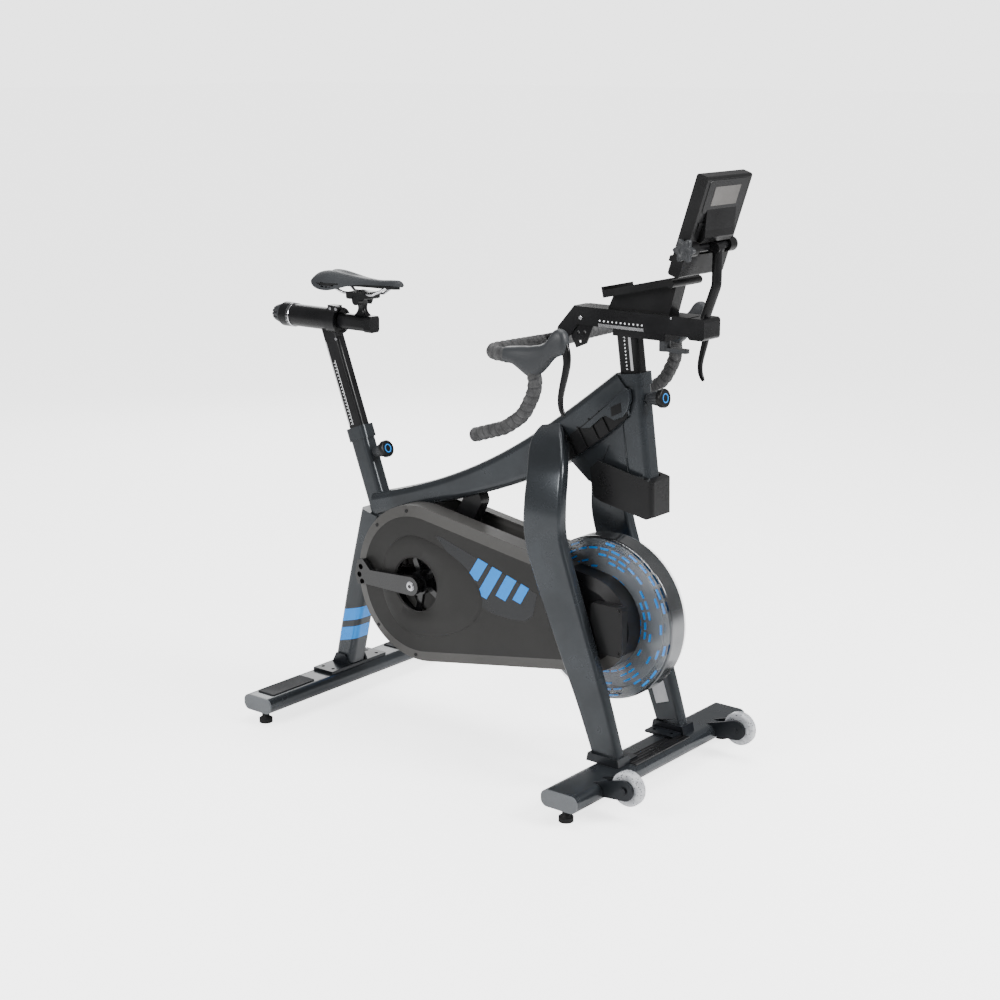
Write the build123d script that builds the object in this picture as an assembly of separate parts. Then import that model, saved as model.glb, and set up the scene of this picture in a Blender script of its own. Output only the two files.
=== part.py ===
from build123d import *
import os
from math import acos, atan2, cos, hypot, pi, radians, sin, tan

# Indoor spin bike.  Millimetres, +Z up, +X towards the handlebar, +Y towards the rider's left.
# The origin is on the floor, under the middle of the whole bike.

# ---- driving sizes -------------------------------------------------------------------------
BASE_SPACING = 966.0          # rear base beam to front base beam, centre to centre
REAR_BASE_X = -451.0
FRONT_BASE_HALF = 350.0       # half lengths of the two base beams, without their end caps
REAR_BASE_HALF = 339.0
FRONT_BASE_DEPTH = 99.0
REAR_BASE_DEPTH = 94.0
BASE_BOTTOM = 35.0
BASE_TOP = 75.0
BASE_WALL = 3.5
END_CAP = 4.0

CRANK_FROM_REAR = 321.0       # bottom bracket, measured forward from the rear base beam
CRANK_Z = 374.0
CRANK_LENGTH = 172.5
FLYWHEEL_FROM_REAR = 845.0
FLYWHEEL_Z = 376.0
FLYWHEEL_R = 197.0
FLYWHEEL_HALF_WIDTH = 26.0

LEG_OUTER_Y = 150.0           # outer faces of the two fork legs
LEG_THICK = 33.0
BEAM_WIDTH = 68.0

SEAT_TILT = 20.5              # seat tube, degrees back from vertical
SEAT_TOP_FROM_REAR = 51.0     # centre of the seat tube's mouth
SEAT_TOP_Z = 727.0
SEAT_TUBE = (56.0, 44.0)
SEAT_POST = (50.0, 32.0)
SEAT_TUBE_LENGTH = 236.0
POST_INSERTION = 115.0
HEAD_TILT = 7.7
HEAD_TOP_FROM_REAR = 903.0
HEAD_TOP_Z = 962.0
HEAD_TUBE = (64.0, 52.0)
HEAD_POST = (56.0, 36.0)
HEAD_TUBE_LENGTH = 322.0
HEAD_INSERTION = 150.0

SLIDE_Z = 996.0               # saddle slide: round outer tube and the bar inside it
SLIDE_R = 29.0
SLIDE_BAR = (32.0, 40.0)
SADDLE_LENGTH = 268.0
SADDLE_WIDTH = 146.0
SADDLE_TOP = 1127.0

BAR_BEAM = (60.0, 42.0)       # handlebar beam, width and height
BAR_BEAM_TOP = 1104.0
BAR_HALF_WIDTH = 276.0        # middle of the bike to the middle of a drop
BAR_R = 15.9
TAPE_R = 17.0
TAPE_START = -62.0            # where the tape begins on the right half of the bar
BAR_IN_TAPE = 8.0

SCREEN_WIDTH = 176.0
SCREEN_HEIGHT = 228.0
SCREEN_THICK = 30.0
SCREEN_TILT = 18.0

GAP = 0.4                     # between pieces that move past each other
RUN = 0.05                    # radial clearance of a shaft in its hole

# ---- places that follow from them ----------------------------------------------------------
FRONT_BASE_X = REAR_BASE_X + BASE_SPACING
CRANK_X = REAR_BASE_X + CRANK_FROM_REAR
FLYWHEEL_X = REAR_BASE_X + FLYWHEEL_FROM_REAR
LEG_INNER_Y = LEG_OUTER_Y - LEG_THICK
LEG_MID_Y = LEG_OUTER_Y - LEG_THICK / 2
BEAM_HALF = BEAM_WIDTH / 2


def tube_plane(x, z, tilt):
    """A plane across a tube that leans back by tilt degrees; its normal runs up the tube."""
    t = radians(tilt)
    return Plane(origin=(x, 0, z), x_dir=(cos(t), 0, sin(t)), z_dir=(-sin(t), 0, cos(t)))


SEAT = tube_plane(REAR_BASE_X + SEAT_TOP_FROM_REAR, SEAT_TOP_Z, SEAT_TILT)
HEAD = tube_plane(REAR_BASE_X + HEAD_TOP_FROM_REAR, HEAD_TOP_Z, HEAD_TILT)


def write(name, shape):
    """One STEP for one node; a list of solids shares the node."""
    if isinstance(shape, list):
        shape = Compound(children=shape)
    export_step(shape, f"parts/{name}.step")


# ---- shape helpers -------------------------------------------------------------------------
def block(x0, x1, y0, y1, z0, z1):
    return Pos((x0 + x1) / 2, (y0 + y1) / 2, (z0 + z1) / 2) * Box(x1 - x0, y1 - y0, z1 - z0)


def slab(outline, y0, y1):
    """An outline drawn with x across and z up, as a plate from y0 to y1."""
    return Pos(0, y1, 0) * (Plane.XZ * extrude(outline, amount=y1 - y0))


def polygon(*points):
    return make_face(Polyline(*points, close=True))


def capsule(x1, z1, r1, x2, z2, r2):
    """The outline of a belt that is pulled tight round two circles."""
    run = atan2(z2 - z1, x2 - x1)
    lean = acos((r1 - r2) / hypot(x2 - x1, z2 - z1))

    def rim(x, z, r, angle):
        return (x + r * cos(angle), z + r * sin(angle))

    a, b = rim(x1, z1, r1, run + lean), rim(x2, z2, r2, run + lean)
    c, d = rim(x2, z2, r2, run - lean), rim(x1, z1, r1, run - lean)
    front = ThreePointArc(b, rim(x2, z2, r2, run), c)
    back = ThreePointArc(d, rim(x1, z1, r1, run + pi), a)
    return make_face([Line(a, b), front, Line(c, d), back])


def ring_y(x, z, r, y0, y1, bore=0.0):
    """A cylinder along Y, with a bore if one is given."""
    outline = Pos(x, z) * Circle(r)
    if bore:
        outline -= Pos(x, z) * Circle(bore)
    return slab(outline, y0, y1)


def disc_z(x, y, r, z0, z1):
    return Pos(x, y, (z0 + z1) / 2) * Cylinder(r, z1 - z0)


def rod(start, end, r):
    """A round bar between two points."""
    line = Line(start, end)
    return sweep(Plane(origin=start, z_dir=line % 0) * Circle(r), path=line)


def in_tube(plane, size, radius, z0, z1):
    """A length of rounded rectangular section along a tilted tube."""
    return plane * Pos(0, 0, z0) * extrude(RectangleRounded(size[0], size[1], radius), amount=z1 - z0)


def smooth_stations(stations, steps):
    """Extra stations between the given ones, on a cubic that passes through them all."""
    result = []
    last = len(stations) - 1
    for i in range(last):
        p0, p1 = stations[max(i - 1, 0)], stations[i]
        p2, p3 = stations[i + 1], stations[min(i + 2, last)]
        for step in range(steps):
            t = step / steps
            result.append(tuple(b + 0.5 * t * (c - a + t * (2 * a - 5 * b + 4 * c - d
                                                            + t * (3 * (b - c) + d - a)))
                                for a, b, c, d in zip(p0, p1, p2, p3)))
    return result + [stations[last]]


def lofted_bar(stations, radius):
    """A bar through stations of (x, y, z, width, thickness), each set across the path."""
    sections = []
    points = [Vector(*s[:3]) for s in stations]
    for i, (x, y, z, width, thick) in enumerate(stations):
        ahead = points[min(i + 1, len(points) - 1)]
        behind = points[max(i - 1, 0)]
        way = (ahead - behind).normalized()
        across = (Vector(1, 0, 0) - way * way.X).normalized()
        face = Plane(origin=(x, y, z), x_dir=across, z_dir=way) * RectangleRounded(width, thick, radius)
        sections.append(face)
    return loft(sections, ruled=True)


def both_sides(shape):
    """The piece and its mirror image across the middle of the bike."""
    return [shape, mirror(shape, Plane.XZ)]


# ---- base beams, feet and transport wheels --------------------------------------------------
FOOT_STEM_R = 6.0
FOOT_INSET = 29.0             # from the outside of the end cap to the foot's middle
WHEEL_X = FRONT_BASE_X + 106.0
WHEEL_Z = 76.0
WHEEL_R = 41.0
WHEEL_Y = 235.0
WHEEL_HALF_WIDTH = 12.0
WHEEL_AXLE_R = 5.0
WHEEL_CHEEK = 6.0             # thickness of a bracket plate
BASE_CORNER = 17.0
FRONT_FOOT_Y = FRONT_BASE_HALF + END_CAP - FOOT_INSET
REAR_FOOT_Y = REAR_BASE_HALF + END_CAP - FOOT_INSET


def base_section(depth, inset=0.0):
    height = BASE_TOP - BASE_BOTTOM
    return RectangleRounded(depth - 2 * inset, height - 2 * inset, BASE_CORNER - inset)


def base_beam(x, half, depth, foot_y):
    """A hollow beam across the bike with a stem hole near each end."""
    middle_z = (BASE_TOP + BASE_BOTTOM) / 2
    place = Pos(x, middle_z)
    beam = slab(place * base_section(depth), -half, half)
    beam -= slab(place * base_section(depth, BASE_WALL), -half, half)
    for side in (-1, 1):
        beam -= disc_z(x, side * foot_y, FOOT_STEM_R + GAP, BASE_BOTTOM - 1, BASE_BOTTOM + BASE_WALL + 1)
    return beam


def front_base():
    """The front beam has three shallow grooves along its front upper side."""
    beam = base_beam(FRONT_BASE_X, FRONT_BASE_HALF, FRONT_BASE_DEPTH, FRONT_FOOT_Y)
    for step in range(3):
        x = FRONT_BASE_X + 8 + 11 * step
        beam -= block(x, x + 5, -95, 95, BASE_TOP - 1.6, BASE_TOP + 1)
    return beam


def end_caps():
    caps = []
    for x, half, depth in ((FRONT_BASE_X, FRONT_BASE_HALF, FRONT_BASE_DEPTH),
                           (REAR_BASE_X, REAR_BASE_HALF, REAR_BASE_DEPTH)):
        outline = Pos(x, (BASE_TOP + BASE_BOTTOM) / 2) * base_section(depth)
        caps += both_sides(slab(outline, -half - END_CAP, -half))
    return caps


def standing_pads():
    pad = Pos(REAR_BASE_X, -238, BASE_TOP) * extrude(RectangleRounded(58, 150, 5), amount=3)
    return both_sides(pad)


def levelling_foot(x, y):
    pad = disc_z(x, y, 17, 0, 11)
    pad += Pos(x, y, 15) * Cone(14, 8, 8)
    pad += Pos(x, y, 19) * extrude(RegularPolygon(10, 6), amount=7)
    return pad + disc_z(x, y, FOOT_STEM_R, 19, 64)


def wheel_brackets():
    """Two cheeks on each side, from the front beam to the wheel's axle, and the axle."""
    beam_outline = Pos(FRONT_BASE_X, (BASE_TOP + BASE_BOTTOM) / 2) * base_section(FRONT_BASE_DEPTH)
    outline = capsule(FRONT_BASE_X + 24, 60, 15, WHEEL_X, WHEEL_Z, 24) - beam_outline
    outline -= Pos(WHEEL_X, WHEEL_Z) * Circle(WHEEL_AXLE_R)
    pieces = []
    inner = WHEEL_HALF_WIDTH + 3
    for offset in (-inner - WHEEL_CHEEK, inner):
        cheek = slab(outline, -WHEEL_Y + offset, -WHEEL_Y + offset + WHEEL_CHEEK)
        pieces += both_sides(max(cheek.solids(), key=lambda s: s.volume))
    return pieces


def wheel_axles():
    reach = WHEEL_HALF_WIDTH + 3 + WHEEL_CHEEK
    axle = ring_y(WHEEL_X, WHEEL_Z, WHEEL_AXLE_R, -WHEEL_Y - reach - 1, -WHEEL_Y + reach + 1)
    head = ring_y(WHEEL_X, WHEEL_Z, 8, -WHEEL_Y - reach - 5, -WHEEL_Y - reach)
    return both_sides(axle + head)


def transport_wheel(side):
    y = side * WHEEL_Y
    outline = Pos(WHEEL_X, WHEEL_Z) * (Circle(WHEEL_R) - Circle(WHEEL_AXLE_R + RUN))
    wheel = slab(outline, y - WHEEL_HALF_WIDTH, y + WHEEL_HALF_WIDTH)
    tread = wheel.edges().filter_by(GeomType.CIRCLE).filter_by(lambda e: e.radius > WHEEL_R - 1)
    return fillet(tread, 7)


# ---- welded frame ----------------------------------------------------------------------------
def seat_tube():
    body = in_tube(SEAT, SEAT_TUBE, 13, -SEAT_TUBE_LENGTH, -34)
    bore = (SEAT_POST[0] + 2 * GAP, SEAT_POST[1] + 2 * GAP)
    body -= in_tube(SEAT, bore, 9 + GAP, -SEAT_TUBE_LENGTH + 9, 1)
    pin = SEAT * Pos(0, 0, -KNOB_DROP_SEAT) * Rot(0, 90, 0) * Cylinder(PIN_R + RUN, 90, align=BOTTOM)
    return body - pin


def tube_collar(plane, tube, post, height, radius):
    """The clamp collar on a tube's mouth, with a slit down its back."""
    collar = in_tube(plane, (tube[0] + 8, tube[1] + 6), radius, -height, 0)
    collar -= in_tube(plane, (post[0] + 2 * GAP, post[1] + 2 * GAP), radius - 4, -height - 1, 1)
    slit = plane * Pos(-tube[0] / 2, 0, -height / 2) * Box(18, 2.5, height + 2)
    return collar - slit


def head_tube():
    body = in_tube(HEAD, HEAD_TUBE, 14, -HEAD_TUBE_LENGTH, -28)
    bore = (HEAD_POST[0] + 2 * GAP, HEAD_POST[1] + 2 * GAP)
    body -= in_tube(HEAD, bore, 10 + GAP, -HEAD_TUBE_LENGTH + 9, 1)
    pin = HEAD * Pos(0, 0, -KNOB_DROP_HEAD) * Rot(0, 90, 0) * Cylinder(PIN_R + RUN, 90, align=BOTTOM)
    return body - pin


def tube_envelopes():
    """The outside of the two tubes, for what is welded against them."""
    seat = in_tube(SEAT, SEAT_TUBE, 13, -SEAT_TUBE_LENGTH, -34)
    head = in_tube(HEAD, HEAD_TUBE, 14, -HEAD_TUBE_LENGTH, -28)
    return seat, head


def beam_point(along):
    """A point on the beam's middle line, a share of the way from seat tube to head tube."""
    start = SEAT.origin - SEAT.z_dir * (SEAT_TUBE_LENGTH - 28) + Vector(0, 0, 4)
    end = HEAD.origin - HEAD.z_dir * 34
    up = 0.60 * along + 0.40 * along ** 3
    return (start.X + along * (end.X - start.X), 0, start.Z + up * (end.Z - start.Z))


def main_beam():
    """The long beam: low and slim at the seat tube, deep and steep at the head tube."""
    shape = ((0.0, 58), (0.12, 56), (0.32, 62), (0.54, 82), (0.76, 104), (1.0, 98))
    sections = []
    for along, depth in shape:
        ahead = Vector(*beam_point(along + 0.02))
        behind = Vector(*beam_point(along - 0.02))
        place = Plane(origin=beam_point(along), x_dir=(0, 1, 0), z_dir=(ahead - behind).normalized())
        sections.append(place * RectangleRounded(BEAM_WIDTH, depth, 17))
    seat, head = tube_envelopes()
    collar = in_tube(HEAD, (HEAD_TUBE[0] + 8, HEAD_TUBE[1] + 6), 15, -30, 80)
    beam = loft(sections) - seat - head - collar
    front_cut = HEAD * Pos(110, 0, 0) * Box(220, 200, 900)
    rear_cut = SEAT * Pos(-110, 0, 0) * Box(220, 200, 900)
    beam = beam - front_cut - rear_cut
    return max(beam.solids(), key=lambda s: s.volume)


def gusset():
    """The web between the beam's underside and the lower head tube, with a shallow side panel."""
    top = HEAD.origin - HEAD.z_dir * 100
    low = HEAD.origin - HEAD.z_dir * (HEAD_TUBE_LENGTH - 6)
    web = slab(polygon((top.X - 190, top.Z - 110), (top.X, top.Z), (low.X, low.Z),
                       (low.X - 150, low.Z + 50)), -21, 21)
    web = web - main_beam() - tube_envelopes()[1]
    web = max(web.solids(), key=lambda s: s.volume)
    for side in (-1, 1):
        panel = polygon((low.X - 112, low.Z + 96), (low.X - 92, low.Z + 142),
                        (low.X - 66, low.Z + 142), (low.X - 62, low.Z + 90))
        web -= slab(panel, side * 21 - 1.5, side * 21 + 1.5)
    return web


def rear_leg():
    top = SEAT.origin - SEAT.z_dir * (SEAT_TUBE_LENGTH - 6) - Vector(26, 0, 0)
    stations = ((REAR_BASE_X, 0, FOOT_PLATE_TOP, 60, 60),
                ((REAR_BASE_X + top.X) / 2 - 3, 0, (FOOT_PLATE_TOP + top.Z) / 2, 64, 58),
                (top.X, 0, top.Z, 66, 56))
    bottom = block(REAR_BASE_X - 60, REAR_BASE_X + 90, -60, 60, 0, FOOT_PLATE_TOP)
    leg = lofted_bar(stations, 15) - tube_envelopes()[0] - main_beam() - bottom
    return max(leg.solids(), key=lambda s: s.volume)


FOOT_PLATE_TOP = BASE_TOP + 8


def rear_foot_bracket():
    """The plate under the rear leg, with a raised ear and a bolt hole on each side."""
    plate = block(REAR_BASE_X - 34, REAR_BASE_X + 34, -104, 104, BASE_TOP, FOOT_PLATE_TOP)
    for side in (-1, 1):
        for x in (-18, 18):
            plate -= disc_z(REAR_BASE_X + x, side * 84, 5, BASE_TOP - 1, FOOT_PLATE_TOP + 1)
        ear = slab(polygon((REAR_BASE_X - 30, FOOT_PLATE_TOP), (REAR_BASE_X + 30, FOOT_PLATE_TOP),
                           (REAR_BASE_X + 16, FOOT_PLATE_TOP + 26), (REAR_BASE_X - 16, FOOT_PLATE_TOP + 26)),
                   side * 33 - 3, side * 33 + 3)
        plate += ear
    return plate


def fork_leg():
    """The right fork leg: it leaves the beam's side, arches outwards and runs down to the front base."""
    foot = FRONT_BASE_X - 24
    hub = FLYWHEEL_X - 9
    low_z = FOOT_PLATE_TOP + 12
    crown = Vector(*beam_point(0.74))
    stations = ((crown.X - 6, -BEAM_HALF + 2, crown.Z + 40, 58, 24),
                (crown.X + 10, -BEAM_HALF - 34, crown.Z + 12, 86, 30),
                (hub - 90, -LEG_MID_Y + 22, crown.Z - 45, 100, LEG_THICK),
                (hub - 82, -LEG_MID_Y + 2, 655, 106, LEG_THICK),
                (hub - 78, -LEG_MID_Y, 580, 108, LEG_THICK),
                (hub - 48, -LEG_MID_Y, 490, 104, LEG_THICK),
                (hub + 8, -LEG_MID_Y, 350, 94, LEG_THICK),
                ((hub + 8 + foot) / 2 + 6, -LEG_MID_Y, 215, 82, LEG_THICK),
                (foot, -LEG_MID_Y, low_z, 72, LEG_THICK))
    floor_cut = block(foot - 120, foot + 120, -LEG_OUTER_Y - 20, 0, 0, low_z)
    leg = lofted_bar(smooth_stations(stations, 2), 8) - main_beam() - floor_cut
    return max(leg.solids(), key=lambda s: s.volume)


def foot_plates():
    """The stepped brackets that bolt the fork legs to the front base."""
    x = FRONT_BASE_X - 22
    top = FOOT_PLATE_TOP + 12
    plate = slab(polygon((x - 46, BASE_TOP), (x + 46, BASE_TOP), (x + 42, top), (x - 42, top)),
                 -LEG_OUTER_Y - 8, -LEG_INNER_Y + 6)
    wing = block(x - 40, x + 40, -LEG_INNER_Y + 6, -LEG_INNER_Y + 44, BASE_TOP, BASE_TOP + 6)
    for dx in (-24, 24):
        wing -= disc_z(x + dx, -LEG_INNER_Y + 26, 5, BASE_TOP - 1, BASE_TOP + 7)
    return both_sides(plate + wing)


BB_SHELL_R = 26.0
BB_HALF = 44.0
SPINDLE_R = 12.0


def drive_carrier():
    """The bottom bracket shell with its strut from the beam and its stay from the rear leg."""
    strut = slab(capsule(CRANK_X, CRANK_Z, 30, CRANK_X + 122, CRANK_Z + 222, 26), -17, 17)
    stay = slab(capsule(CRANK_X, CRANK_Z, 26, REAR_BASE_X + 62, CRANK_Z - 34, 20), -17, 17)
    shell = ring_y(CRANK_X, CRANK_Z, BB_SHELL_R + 6, -BB_HALF, BB_HALF)
    body = strut + stay + shell - ring_y(CRANK_X, CRANK_Z, BB_SHELL_R - 6, -BB_HALF - 1, BB_HALF + 1)
    body = body - main_beam() - rear_leg()
    return max(body.solids(), key=lambda s: s.volume)


def bottom_bearings():
    bearing = ring_y(CRANK_X, CRANK_Z, BB_SHELL_R - 6, -BB_HALF, -BB_HALF + 12, SPINDLE_R + RUN)
    return both_sides(bearing)


SHROUD_HALF = 41.0
SHROUD_CORNER = 12.0


def front_shroud():
    """The dark wrap round the foot of the head tube."""
    low = HEAD.origin - HEAD.z_dir * HEAD_TUBE_LENGTH
    nose = low.X + HEAD_TUBE[0] / 2 + 8
    outline = polygon((nose - 172, low.Z + 92), (nose - 150, low.Z + 112), (nose - 10, low.Z + 84),
                      (nose, low.Z + 82), (nose + 2, low.Z), (nose - 14, low.Z - 6),
                      (nose - 140, low.Z + 18), (nose - 160, low.Z + 26))
    wrap = slab(outline, -SHROUD_HALF, SHROUD_HALF)
    front_edges = wrap.edges().filter_by(lambda edge: edge.center().X > nose - 1 and abs(edge.center().Y) > 40)
    wrap = fillet(front_edges, SHROUD_CORNER)
    core = slab(polygon((nose - 200, low.Z - 40), (nose - 40, low.Z - 40), (nose - 40, low.Z + 140),
                        (nose - 200, low.Z + 140)), -37, 37)
    core += in_tube(HEAD, (HEAD_TUBE[0] + 6, HEAD_TUBE[1] + 6), 15, -HEAD_TUBE_LENGTH - 40, 0)
    return wrap - core


# ---- drive: cranks, belt and flywheel ------------------------------------------------------------
COVER_FACE = 93.0             # outside of the right belt cover
COVER_EDGE = 84.0
COVER_BACK = 36.0
LEFT_COVER_FACE = 72.0
LEFT_COVER_EDGE = 63.0
LEFT_HOLE_R = 40.0
COVER_REAR_R = 200.0
COVER_FRONT_R = 115.0
COVER_WALL = 3.0
RIM_BAND = 28.0
CRANK_HOLE_R = 69.0
PULLEY_R = 95.0
SMALL_PULLEY_R = 25.0
BELT_FACE = (-70.0, -56.0)
BELT_THICK = 3.0
CRANK_INNER = 99.0            # inner face of a crank arm
CRANK_OUTER = 114.0
AXLE_R = 10.0


def cover_outline(inset):
    return capsule(CRANK_X, CRANK_Z, COVER_REAR_R - inset, FLYWHEEL_X, FLYWHEEL_Z, COVER_FRONT_R - inset)


def belt_cover(face, edge, hole_r):
    """A dish with a sloping rim band, open towards the middle of the bike; it is on the right."""
    dish = slab(cover_outline(0), -edge, -COVER_BACK)
    rim = loft([Pos(0, -edge, 0) * (Plane.XZ * cover_outline(0)),
                Pos(0, -face, 0) * (Plane.XZ * cover_outline(RIM_BAND))])
    dish = dish + rim
    dish -= slab(cover_outline(COVER_WALL), -edge + COVER_WALL, -COVER_BACK + 1)
    dish -= slab(cover_outline(RIM_BAND + 2), -face + COVER_WALL, -edge + COVER_WALL + 1)
    dish -= ring_y(CRANK_X, CRANK_Z, hole_r, -face - 1, 0)
    return dish - ring_y(FLYWHEEL_X, FLYWHEEL_Z, AXLE_R + 1, -face - 1, 0)


def cover_screws():
    """Round screw heads along the rim band of the right cover."""
    screws = []
    band = RIM_BAND / 2
    depth = (COVER_FACE + COVER_EDGE) / 2
    for centre_x, centre_z, radius, angles in ((CRANK_X, CRANK_Z, COVER_REAR_R, (100, 135, 180, 225, 268)),
                                               (FLYWHEEL_X, FLYWHEEL_Z, COVER_FRONT_R, (100, 262))):
        for angle in angles:
            x = centre_x + (radius - band) * cos(radians(angle))
            z = centre_z + (radius - band) * sin(radians(angle))
            screws.append(ring_y(x, z, 4.5, -depth - 2, -depth + 2) - belt_cover_right)
    return [max(s.solids(), key=lambda p: p.volume) for s in screws]


def motor_box():
    """The resistance unit's case, on the inside of the right fork leg."""
    body = block(FLYWHEEL_X + 30, FLYWHEEL_X + 118, -LEG_INNER_Y + 1, -COVER_FACE - GAP,
                 FLYWHEEL_Z - 52, FLYWHEEL_Z + 66)
    body = fillet(body.edges().filter_by(Axis.Y), 9)
    for dz in (-44, 58):
        body += ring_y(FLYWHEEL_X + 108, FLYWHEEL_Z + dz, 4, -LEG_INNER_Y - 1, -LEG_INNER_Y + 1)
    return body


def crank_arm(side, way):
    """An arm with a fanned end that holds three pedal holes; way is -1 to the rear, 1 to the front."""
    y0, y1 = sorted((side * CRANK_INNER, side * CRANK_OUTER))
    end_x = CRANK_X + way * CRANK_LENGTH
    arm = slab(capsule(CRANK_X, CRANK_Z, 24, end_x - way * 14, CRANK_Z - 3, 19), y0, y1)
    fan = polygon((end_x - way * 34, CRANK_Z - 20), (end_x - way * 40, CRANK_Z + 14),
                  (end_x - way * 12, CRANK_Z + 42), (end_x + way * 7, CRANK_Z + 38),
                  (end_x + way * 15, CRANK_Z), (end_x + way * 6, CRANK_Z - 26))
    arm += slab(fan, y0, y1)
    arm -= ring_y(CRANK_X, CRANK_Z, SPINDLE_R, y0 - 1, y1 + 1)
    for dx, dz in PEDAL_HOLES:
        arm -= ring_y(end_x + way * dx, CRANK_Z + dz, PEDAL_HOLE_R, y0 - 1, y1 + 1)
    return arm


PEDAL_HOLE_R = 7.15
PEDAL_HOLES = ((0.0, 0.0), (-5.0, 21.0), (-9.0, -17.0))


def spindle():
    """The spindle with a bolt head at each end."""
    bar = ring_y(CRANK_X, CRANK_Z, SPINDLE_R, -CRANK_OUTER, CRANK_OUTER)
    for side in (-1, 1):
        y0, y1 = sorted((side * CRANK_OUTER, side * (CRANK_OUTER + 3)))
        bar += ring_y(CRANK_X, CRANK_Z, 10, y0, y1, 5)
    return bar


def belt_pulley():
    """A five-spoke pulley inside the right cover."""
    y0, y1 = BELT_FACE
    rim = ring_y(CRANK_X, CRANK_Z, PULLEY_R, y0, y1, PULLEY_R - 12)
    hub = ring_y(CRANK_X, CRANK_Z, 30, y0 - 18, y1)
    wheel = rim + hub
    for i in range(5):
        turn = Pos(CRANK_X, (y0 + y1) / 2, CRANK_Z) * Rot(0, 72 * i + 30, 0)
        spoke = turn * Pos(54, 0, 0) * Box(66, 10, 15)
        wheel += spoke
    return wheel - ring_y(CRANK_X, CRANK_Z, SPINDLE_R, y0 - 30, y1 + 1)


def belt():
    """The drive belt, a hair off the pulleys."""
    inner = capsule(CRANK_X, CRANK_Z, PULLEY_R + GAP, FLYWHEEL_X, FLYWHEEL_Z, SMALL_PULLEY_R + GAP)
    outer = capsule(CRANK_X, CRANK_Z, PULLEY_R + GAP + BELT_THICK,
                    FLYWHEEL_X, FLYWHEEL_Z, SMALL_PULLEY_R + GAP + BELT_THICK)
    return slab(outer - inner, BELT_FACE[0] + 1, BELT_FACE[1] - 1)


def flywheel_disc():
    """The light disc with its hub and the small belt pulley."""
    bore = AXLE_R + RUN
    disc = ring_y(FLYWHEEL_X, FLYWHEEL_Z, FLYWHEEL_R - 26, -16, 16, bore)
    hub = ring_y(FLYWHEEL_X, FLYWHEEL_Z, 34, -26, 30, bore)
    pulley = ring_y(FLYWHEEL_X, FLYWHEEL_Z, SMALL_PULLEY_R, -76, -26, bore)
    return disc + hub + pulley


def flywheel_rim():
    outline = Pos(FLYWHEEL_X, FLYWHEEL_Z) * (Circle(FLYWHEEL_R) - Circle(FLYWHEEL_R - 26))
    rim = slab(outline, -FLYWHEEL_HALF_WIDTH, FLYWHEEL_HALF_WIDTH)
    edges = rim.edges().filter_by(GeomType.CIRCLE).filter_by(lambda e: e.radius > FLYWHEEL_R - 1)
    return fillet(edges, 3)


def flywheel_guards():
    """A clear ring plate on each side of the flywheel."""
    guard = ring_y(FLYWHEEL_X, FLYWHEEL_Z, FLYWHEEL_R - 4, -COVER_BACK, -COVER_BACK + 3, COVER_FRONT_R - 18)
    return both_sides(guard)


def flywheel_axle():
    return ring_y(FLYWHEEL_X, FLYWHEEL_Z, AXLE_R, -LEG_INNER_Y, LEG_INNER_Y)


# ---- pull knobs ----------------------------------------------------------------------------------
BOTTOM = (Align.CENTER, Align.CENTER, Align.MIN)
PIN_R = 5.0
KNOB_DROP_SEAT = 76.0         # below the tube's mouth
KNOB_DROP_HEAD = 60.0
KNOB_R = 22.0


def pull_knob(plane, drop, tube_half, post_half):
    """A pin, a cone and a round cap, along the tube's forward normal."""
    place = plane * Pos(0, 0, -drop) * Rot(0, 90, 0)
    pin_start = post_half + 1.5
    knob = place * Pos(0, 0, pin_start) * Cylinder(PIN_R, tube_half - pin_start + 4, align=BOTTOM)
    knob += place * Pos(0, 0, tube_half + 1) * Cone(11, 17, 34, align=BOTTOM)
    knob += place * Pos(0, 0, tube_half + 35) * Cylinder(KNOB_R, 15, align=BOTTOM)
    return knob


# ---- saddle group --------------------------------------------------------------------------------
SLIDE_REAR = REAR_BASE_X - 203.0
SLIDE_FRONT = REAR_BASE_X - 8.0
BAR_REAR = REAR_BASE_X - 140.0
BAR_FRONT = REAR_BASE_X + 110.0
SADDLE_POST_X = REAR_BASE_X + 70.0
CLAMP_Z = 1056.0
CLAMP_R = 12.0
RAIL_R = 3.5
RAIL_Y = 22.0
NOSE_X = REAR_BASE_X + 206.0


def slide_axis_point():
    """Where the seat post's middle line meets the slide's middle line."""
    lift = (SLIDE_Z - SEAT.origin.Z) / cos(radians(SEAT_TILT))
    return lift


def seat_post():
    top = slide_axis_point()
    post = in_tube(SEAT, SEAT_POST, 9, -POST_INSERTION, top)
    tube = Pos(REAR_BASE_X - 80, 0, SLIDE_Z) * Rot(0, 90, 0) * Cylinder(SLIDE_R, 400)
    above = block(REAR_BASE_X - 300, REAR_BASE_X + 200, -60, 60, SLIDE_Z, SLIDE_Z + 120)
    post = post - tube - above
    return max(post.solids(), key=lambda s: s.volume)


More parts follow.
